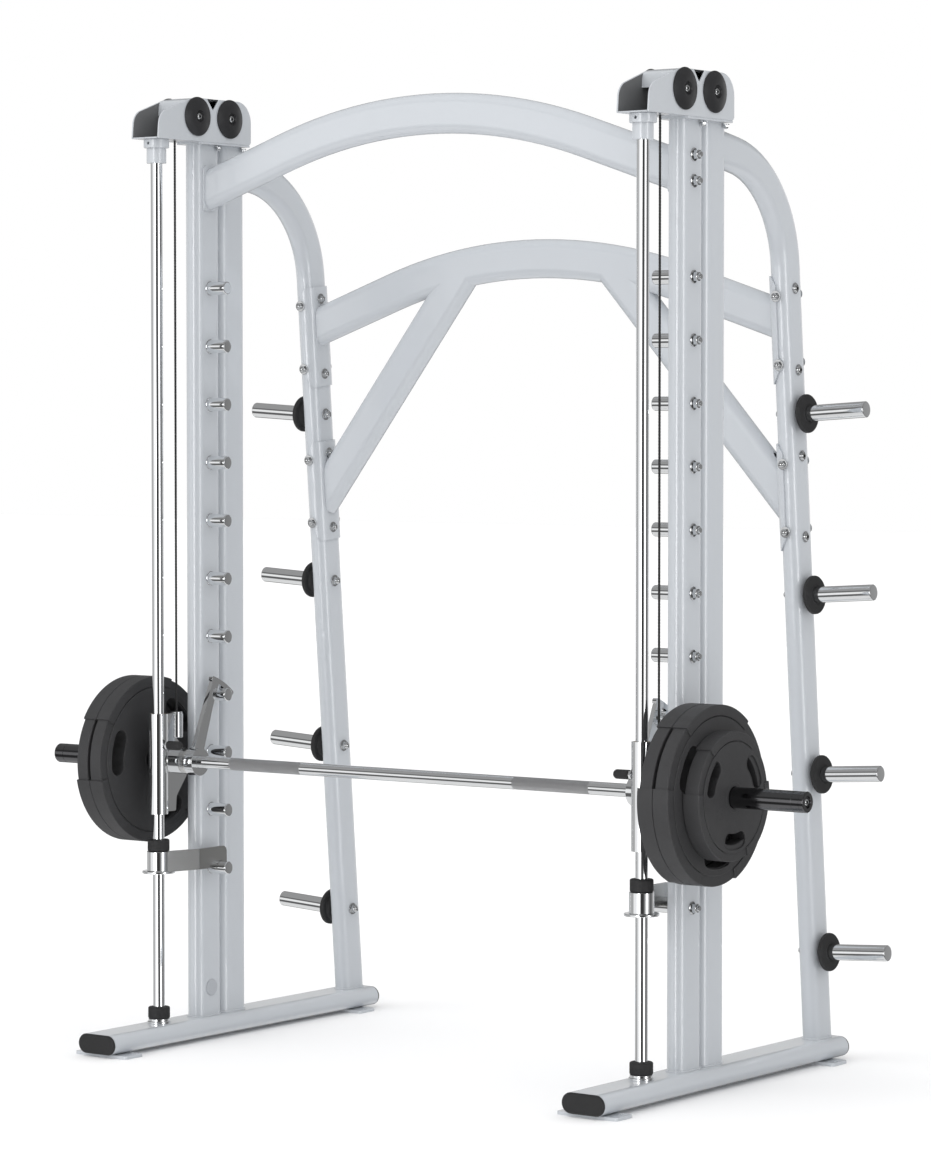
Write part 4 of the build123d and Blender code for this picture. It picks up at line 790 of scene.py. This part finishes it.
sleeves = Piece()
ends = Piece()
sleeve_low, sleeve_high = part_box("bar_sleeves")
cap_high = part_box("sleeve_end_caps")[1].x
SLEEVE_RADIUS = 24.9 * MM
SLEEVE_FLANGE = 15 * MM
CAP_DISH = 6 * MM
groove = SLEEVE_RADIUS - 0.7 * MM
flange_radius = (sleeve_high.y - sleeve_low.y) / 2
inner_x = min(abs(c) for low, high in solids("bar_sleeves") for c in (low.x, high.x))
for side, sx in SIDES:
    place = facing((sx * inner_x, BAR.y, BAR.z), (sx, 0, 0))
    run = sleeve_high.x - inner_x
    sleeves.turn(place, rounded([(BAR_RADIUS, 0), (flange_radius, 0), (flange_radius, SLEEVE_FLANGE),
                                 (SLEEVE_RADIUS, SLEEVE_FLANGE), (SLEEVE_RADIUS, run - 20 * MM),
                                 (groove, run - 19.5 * MM), (groove, run - 18 * MM),
                                 (SLEEVE_RADIUS, run - 17.5 * MM), (SLEEVE_RADIUS, run), (BAR_RADIUS, run)],
                                [r * MM for r in (0, 3, 3, 1, 0.2, 0.2, 0.2, 0.2, 0.6, 0)], steps=4), 64)
    cap = facing((sx * sleeve_high.x, BAR.y, BAR.z), (sx, 0, 0))
    thick = cap_high - sleeve_high.x
    ends.turn(cap, rounded([(0, 0), (SLEEVE_RADIUS, 0), (SLEEVE_RADIUS, thick), (14.5 * MM, thick),
                            (13 * MM, thick - CAP_DISH), (0, thick - CAP_DISH)],
                           [r * MM for r in (0, 0.6, 3, 1, 1.2, 0)], steps=4), 64)
    button_head(ends, raised(cap, thick - CAP_DISH), 9 * MM, 4.6 * MM, 4 * MM, 1, 2)
sleeves.done("bar_sleeve_tubes", "bar", "sleeve_black", (BLACK_NICKEL,), ("bar_sleeves",))
ends.done("sleeve_end_discs", "bar", "sleeve_black", (BLACK_NICKEL, ZINC, RECESS_SHADE), ("sleeve_end_caps",))

# ---------------------------------------------------------------- weight plates
SLOT_TURN = {"left": 50.0, "right": 30.0}
SMALL_TURN = 2.0      # the small plate, turned a little from the large ones
BIG = dict(radius=215 * MM, band=187 * MM, hub=40 * MM, slot=(147 * MM, 117 * MM, 46 * MM), figure="45",
           figure_size=52 * MM, figure_spot=98 * MM)
SMALL = dict(radius=154 * MM, band=131 * MM, hub=36 * MM, slot=(104 * MM, 88 * MM, 38 * MM), figure="25",
             figure_size=40 * MM, figure_spot=72 * MM)
SECTOR = math.radians(21.6)
PLATE_BORE = 25.5 * MM
FIGURE_TURN = {"left": 22.0, "right": 212.0}


def disc_plate(side, sx, start, thickness, kind, first_angle):
    """Rubber-coated plate: hub disc, rim between the grips, relieved finger grips and raised lips."""
    centre = Vector((sx * (start + thickness / 2), BAR.y, BAR.z))
    place = Matrix(((0, 0, sx, centre.x), (1, 0, 0, centre.y), (0, 1, 0, centre.z), (0, 0, 0, 1)))
    mid, length, width = kind["slot"]
    sweep = (length - width) / mid
    angles = [math.radians(first_angle + turn) for turn in (0, 120, 240)]
    slots = [bean(mid, sweep, width, a) for a in angles]
    bore = circle(PLATE_BORE, 48)
    plate = Piece()
    plate.cut(place, [circle(kind["band"], 128), bore] + slots, thickness - 1.6 * MM, 1.6 * MM)
    plate.cut(place, [circle(kind["radius"] - 3 * MM, 144), circle(kind["band"] - 20 * MM, 96)],
              thickness - 8 * MM, 2.4 * MM)
    for a in angles:
        first, last = a + SECTOR, a + math.radians(120) - SECTOR
        rim = arc(kind["radius"], first, last, 40) + arc(kind["band"] + 1.5 * MM, last, first, 40)
        plate.cut(place, [rim], thickness, 2.6 * MM, fineness=3)
        lip = bean(mid, sweep, width + 7 * MM, a)
        plate.cut(place, [lip, bean(mid, sweep, width, a)], thickness - 0.4 * MM, 1.4 * MM)
    plate.cut(place, [circle(kind["hub"], 64), bore], thickness - 0.2 * MM, 1.4 * MM)
    for way in (1, -1):
        text = bpy.data.curves.new("figure", "FONT")
        text.body = kind["figure"]
        text.size = kind["figure_size"]
        text.align_x = "CENTER"
        text.align_y = "CENTER"
        text.extrude = 0.7 * MM
        text.shear = 0.2
        turn = math.radians(FIGURE_TURN[side])
        spot = Vector((centre.x + way * sx * (thickness / 2 - 1.3 * MM),
                       centre.y + kind["figure_spot"] * math.cos(turn),
                       centre.z + kind["figure_spot"] * math.sin(turn)))
        plate.take(text, facing(spot, (way * sx, 0, 0)))
    return plate


def span_from_middle(low, high):
    """Where a plate starts, out from the machine's middle, and its thickness."""
    return min(abs(low.x), abs(high.x)), high.x - low.x


for side, sx in SIDES:
    body = f"plates_{side}"
    big = sorted(span_from_middle(low, high) for low, high in solids(f"plates_45_{side}"))
    for order, (start, thickness) in zip(("inner", "outer"), big):
        plate = disc_plate(side, sx, start, thickness, BIG, SLOT_TURN[side])
        replaced = (f"plates_45_{side}",) if order == "inner" else ()
        plate.done(f"plate_45_{order}_{side}", body, "plate_rubber", (PLATE_RUBBER,), replaced)
    node = f"plate_25_{side}"
    start, thickness = span_from_middle(*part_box(node))
    plate = disc_plate(side, sx, start, thickness, SMALL, SLOT_TURN[side] + SMALL_TURN)
    plate.done(f"plate_25_disc_{side}", body, "plate_rubber", (PLATE_RUBBER,), (node,))

# ---------------------------------------------------------------- carriages and hooks
for side, sx in SIDES:
    softened(f"carriage_{side}", f"carriage_block_{side}", "carriage", "chrome", CHROME, 1.2 * MM)
softened("rack_hooks", "rack_hook_pair", "bar", "chrome", CHROME, 1.6 * MM)

anchors = Piece()
for low, high, centre, _ in sided("cable_anchors"):
    radius = (high.x - low.x) / 2
    neck = radius - 1.4 * MM
    hole = 4 * MM
    height = high.z - low.z
    anchors.turn(facing((centre.x, centre.y, low.z), (0, 0, 1)),
                 rounded([(0, 0), (radius, 0), (radius, height - 5 * MM), (neck, height - 4.6 * MM),
                          (neck, height), (hole, height), (hole, height - 3 * MM), (0, height - 3 * MM)],
                         [r * MM for r in (0, 2, 0.6, 0.4, 1.6, 0.4, 0, 0)], steps=3), 40)
anchors.done("cable_anchor_pins", "carriage", "chrome", (CHROME,), ("cable_anchors",))

bullets = Piece()
studs = Piece()
for low, high, centre, outward in sided("hook_stop_bumpers"):
    radius = (high.y - low.y) / 2
    dome = 0.9 * radius
    shoulder = high.x - low.x - dome
    place = facing((high.x if outward > 0 else low.x, centre.y, centre.z), (-outward, 0, 0))
    nose = [(0.45 * radius, 0), (radius, 0), (radius, shoulder)]
    for k in range(1, 8):
        angle = math.pi / 2 * k / 7
        nose.append((radius * math.cos(angle), shoulder + dome * math.sin(angle)))
    bullets.turn(place, nose, 36)
for low, high, centre, outward in sided("hook_stop_studs"):
    place = facing((high.x if outward > 0 else low.x, centre.y, centre.z), (-outward, 0, 0))
    length = high.x - low.x
    studs.turn(place, [(0, 0), (5 * MM, 0), (5 * MM, length), (0, length)], 24)
    studs.turn(raised(place, 6 * MM),
               rounded([(5 * MM, 0), (10.4 * MM, 0), (10.4 * MM, 9.6 * MM), (5 * MM, 9.6 * MM)],
                       (0, 0.8 * MM, 0.8 * MM, 0), steps=2), 6)
bullets.done("hook_stop_rubbers", "carriage", "black_rubber", (RUBBER,), ("hook_stop_bumpers",))
studs.done("hook_stop_pins", "carriage", "chrome", (CHROME,), ("hook_stop_studs",))

# ---------------------------------------------------------------- frame edges and welds
softened("saddle_plates", "leg_saddles", "frame", "frame_paint", PAINT, 1.6 * MM)
softened("foot_plates", "floor_plates", "frame", "frame_paint", PAINT, 1.8 * MM)
softened("post_top_plates", "post_caps", "frame", "frame_paint", PAINT, 1.2 * MM)
softened("rail_end_caps", "rail_ends", "frame", "black_rubber", RUBBER, 2.0 * MM)

welds = Piece()
WELD = 3.2 * MM
WELD_Z = RAIL_TOP + 0.8 * MM
LEG_DEPTH = 90 * MM


def weld_loop(centre, length, waves):
    """Weld bead round the foot of a flat-oval tube whose long side runs front to back."""
    outline = stadium(length, 2 * POST_HALF, 24)
    dense = []
    for i, spot in enumerate(outline):
        after = outline[(i + 1) % len(outline)]
        parts = max(1, round((after - spot).length / (2.5 * MM)))
        dense += [spot.lerp(after, k / parts) for k in range(parts)]
    points = [Vector((centre[0] + p.y, centre[1] + p.x, centre[2])) for p in dense]
    welds.ring_sweep(points, WELD, sides=8, ripple=0.16, waves=waves)


for side, sx in SIDES:
    for node in ("front_posts", "rear_posts"):
        low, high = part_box(node)
        weld_loop((sx * SIDE_X, middle(node).y, WELD_Z), high.y - low.y, 70)
    weld_loop((sx * SIDE_X, leg_y(RAIL_TOP), WELD_Z), LEG_DEPTH, 64)
welds.done("tube_foot_welds", "frame", "frame_paint", (PAINT,), sharp=70.0)

# ---------------------------------------------------------------- lift cables
CABLE_RADIUS = (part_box("cable_front_runs")[1].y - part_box("cable_front_runs")[0].y) / 2
CABLE_COAT = surface("coated_cable", (0.016, 0.016, 0.017), 0.4, mottle=0.1, mottle_scale=60.0)


def cable_mesh(piece, x, y, low_z, high_z):
    """Straight twisted cable: a lobed section that turns as it climbs."""
    lobes = 6
    sides = 24
    lay = 45 * MM
    count = int((high_z - low_z) / (3.0 * MM))
    rings = []
    for i in range(count + 1):
        z = low_z + (high_z - low_z) * i / count
        twist = math.tau * (z - low_z) / lay
        ring = []
        for k in range(sides):
            angle = math.tau * k / sides
            size = CABLE_RADIUS * (0.93 + 0.07 * math.cos(lobes * angle))
            ring.append(piece.mesh.verts.new((x + size * math.cos(angle + twist),
                                              y + size * math.sin(angle + twist), z)))
        rings.append(ring)
    for low, high in zip(rings, rings[1:]):
        piece.band(low, high)


run_low, run_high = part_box("cable_front_runs")
front = Piece()
for side, sx in SIDES:
    cable_mesh(front, sx * SIDE_X, middle("cable_front_runs").y, run_low.z, run_high.z)
front_piece = front.done("lift_cable_front", "frame", "cable", (CABLE_COAT,), ("cable_front_runs",),
                         sharp=80.0)
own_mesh(front_piece)

for side, sx in SIDES:
    node = f"cable_rear_run_{side}"
    low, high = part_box(node)
    x = sx * SIDE_X
    rear = Piece()
    cable_mesh(rear, x, middle(node).y, low.z, high.z)
    rear_piece = rear.done(f"lift_cable_rear_{side}", "frame", "cable", (CABLE_COAT,), (node,), sharp=80.0)
    del rear_piece["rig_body"]
    rear_piece.parent = None
    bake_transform(rear_piece)

# ---------------------------------------------------------------- CAD nodes that keep their own mesh
KEPT = {
    PAINT: ("base_rails", "front_posts", "rear_posts", "back_legs", "front_arch", "rear_arch",
            "rear_braces"),
    ROD_CHROME: ("guide_rods",),
    HEAD_PAINT: ("rod_top_collars",),
    GREY_PLASTIC: ("hole_plugs",),
    PLASTIC: ("cable_bushes", "front_pulley_left", "front_pulley_right", "rear_pulley_left",
              "rear_pulley_right"),
    CABLE_COAT: ("cable_top_runs",),
    IRON: ("counterweight_left", "counterweight_right"),
    ZINC: ("pulley_bearings",),
    BRONZE: ("linear_bearings",),
    SATIN: ("bar_bearings",),
}
for made, nodes in KEPT.items():
    for node in nodes:
        paint_node(node, made)

# ---------------------------------------------------------------- floor, light and camera
FLOOR_HALF = 40.0
ground = bmesh.new()
for x, y in ((-1, -1), (1, -1), (1, 1), (-1, 1)):
    ground.verts.new((x * FLOOR_HALF, y * FLOOR_HALF, 0))
ground.faces.new(ground.verts)
floor_mesh = bpy.data.meshes.new("studio_floor")
ground.to_mesh(floor_mesh)
ground.free()
floor_mesh.materials.append(surface("pale_floor", (0.93, 0.93, 0.935), 0.75, mottle=0.004, mottle_scale=0.7,
                                    grain_scale=60.0, grain_height=0.1, specular=0.1))
floor = bpy.data.objects.new("studio_floor", floor_mesh)
bpy.context.scene.collection.objects.link(floor)
floor.visible_glossy = False

scene = bpy.context.scene
scene.view_settings.view_transform = "Standard"
CAMERA_SIDE = Vector((0.59, -0.80, 0.0)).normalized()
CAMERA_RIGHT = Vector((0.80, 0.59, 0.0)).normalized()
# Brightness of the studio wall that gloss shows: (degrees to the right of the camera's side, value).
WALL = ((-180, 0.62), (-125, 0.55), (-100, 0.42), (-86, 0.45), (-76, 0.95), (-60, 0.95), (-46, 1.1),
        (-36, 2.2), (-31, 6.0), (-25, 6.0), (-19, 1.6), (-13, 0.25), (-8, 0.04), (8, 0.04), (18, 0.09),
        (30, 0.45), (40, 1.0), (44, 5.0), (50, 5.0), (55, 0.9), (66, 0.45), (78, 0.14), (92, 0.12),
        (112, 0.30), (135, 0.70), (180, 0.62))
WALL_TOP = 6.0
# Above and below the wall: (height of the direction from, to, value). Dark gaps, then ceiling and floor.
BANDS = ((0.18, 0.30, 0.14), (0.42, 0.56, 0.34), (-0.14, -0.24, 0.12), (-0.50, -0.62, 0.80))
world = bpy.data.worlds.new("studio_light")
scene.world = world
world.use_nodes = True
tree = world.node_tree
background = tree.nodes["Background"]
way_in = new_node(tree, "ShaderNodeTexCoord")
parts = []
for axis in (CAMERA_RIGHT, CAMERA_SIDE, Vector((0, 0, 1))):
    part = new_node(tree, "ShaderNodeVectorMath")
    part.operation = "DOT_PRODUCT"
    part.inputs[1].default_value = axis
    wire(tree, way_in.outputs["Generated"], part.inputs[0])
    parts.append(part.outputs["Value"])
turn = maths(tree, "ARCTAN2", parts[0], parts[1])
share = new_node(tree, "ShaderNodeMapRange")
share.inputs["From Min"].default_value = -math.pi
share.inputs["From Max"].default_value = math.pi
wire(tree, turn, share.inputs["Value"])
ramp = new_node(tree, "ShaderNodeValToRGB")
wire(tree, share.outputs["Result"], ramp.inputs["Fac"])
stops = ramp.color_ramp.elements
stops.remove(stops[1])
for index, (degrees, value) in enumerate(WALL):
    position = (degrees + 180) / 360
    stop = stops[0] if index == 0 else stops.new(position)
    stop.position = position
    stop.color = (*[value / WALL_TOP] * 3, 1)


def height_blend(start, end, level, below):
    """Fades what is below into one grey between two heights of the direction."""
    fade = new_node(tree, "ShaderNodeMapRange")
    fade.interpolation_type = "SMOOTHSTEP"
    fade.inputs["From Min"].default_value = start
    fade.inputs["From Max"].default_value = end
    wire(tree, parts[2], fade.inputs["Value"])
    mixed = new_node(tree, "ShaderNodeMix")
    mixed.data_type = "RGBA"
    mixed.inputs[MIX_B].default_value = (*[level / WALL_TOP] * 3, 1)
    wire(tree, fade.outputs["Result"], mixed.inputs[0])
    wire(tree, below, mixed.inputs[MIX_A])
    return mixed.outputs[MIX_RESULT]


walls = ramp.outputs["Color"]
for start, end, level in BANDS:
    walls = height_blend(start, end, level, walls)
wire(tree, walls, background.inputs["Color"])
background.inputs["Strength"].default_value = WALL_TOP
even = new_node(tree, "ShaderNodeBackground", Strength=0.92, Color=(1, 1, 1, 1))
clear = new_node(tree, "ShaderNodeBackground", Strength=1.0, Color=(1, 1, 1, 1))
seen = new_node(tree, "ShaderNodeLightPath")
gloss = new_node(tree, "ShaderNodeMixShader")
wire(tree, seen.outputs["Is Glossy Ray"], gloss.inputs["Fac"])
wire(tree, even.outputs["Background"], gloss.inputs[1])
wire(tree, background.outputs["Background"], gloss.inputs[2])
pick = new_node(tree, "ShaderNodeMixShader")
wire(tree, seen.outputs["Is Camera Ray"], pick.inputs["Fac"])
wire(tree, gloss.outputs["Shader"], pick.inputs[1])
wire(tree, clear.outputs["Background"], pick.inputs[2])
wire(tree, pick.outputs["Shader"], tree.nodes["World Output"].inputs["Surface"])


def soft_sun(name, travel, strength, spread):
    """Very soft light from one side, the same all over the floor."""
    lamp = bpy.data.lights.new(name, "SUN")
    lamp.energy = strength
    lamp.angle = math.radians(spread)
    shine = bpy.data.objects.new(name, lamp)
    shine.rotation_mode = "QUATERNION"
    shine.rotation_quaternion = Vector(travel).to_track_quat("-Z", "Y")
    shine.visible_glossy = False
    scene.collection.objects.link(shine)


soft_sun("key_light", (0.25, 0.80, -0.65), 0.75, 70)
soft_sun("top_light", (-0.1, 0.1, -1.0), 0.55, 120)

CAMERA_PLACE = (5.9309, -8.0797, 1.6180)
CAMERA_AIM = (-0.5907, 0.8059, -0.041)
eye = bpy.data.cameras.new("camera")
eye.lens = 123.9
eye.sensor_width = 36.0
eye.clip_start = 0.1
eye.clip_end = 200.0
camera = bpy.data.objects.new("camera", eye)
camera.location = CAMERA_PLACE
camera.rotation_mode = "QUATERNION"
camera.rotation_quaternion = Vector(CAMERA_AIM).to_track_quat("-Z", "Y")
scene.collection.objects.link(camera)
scene.camera = camera
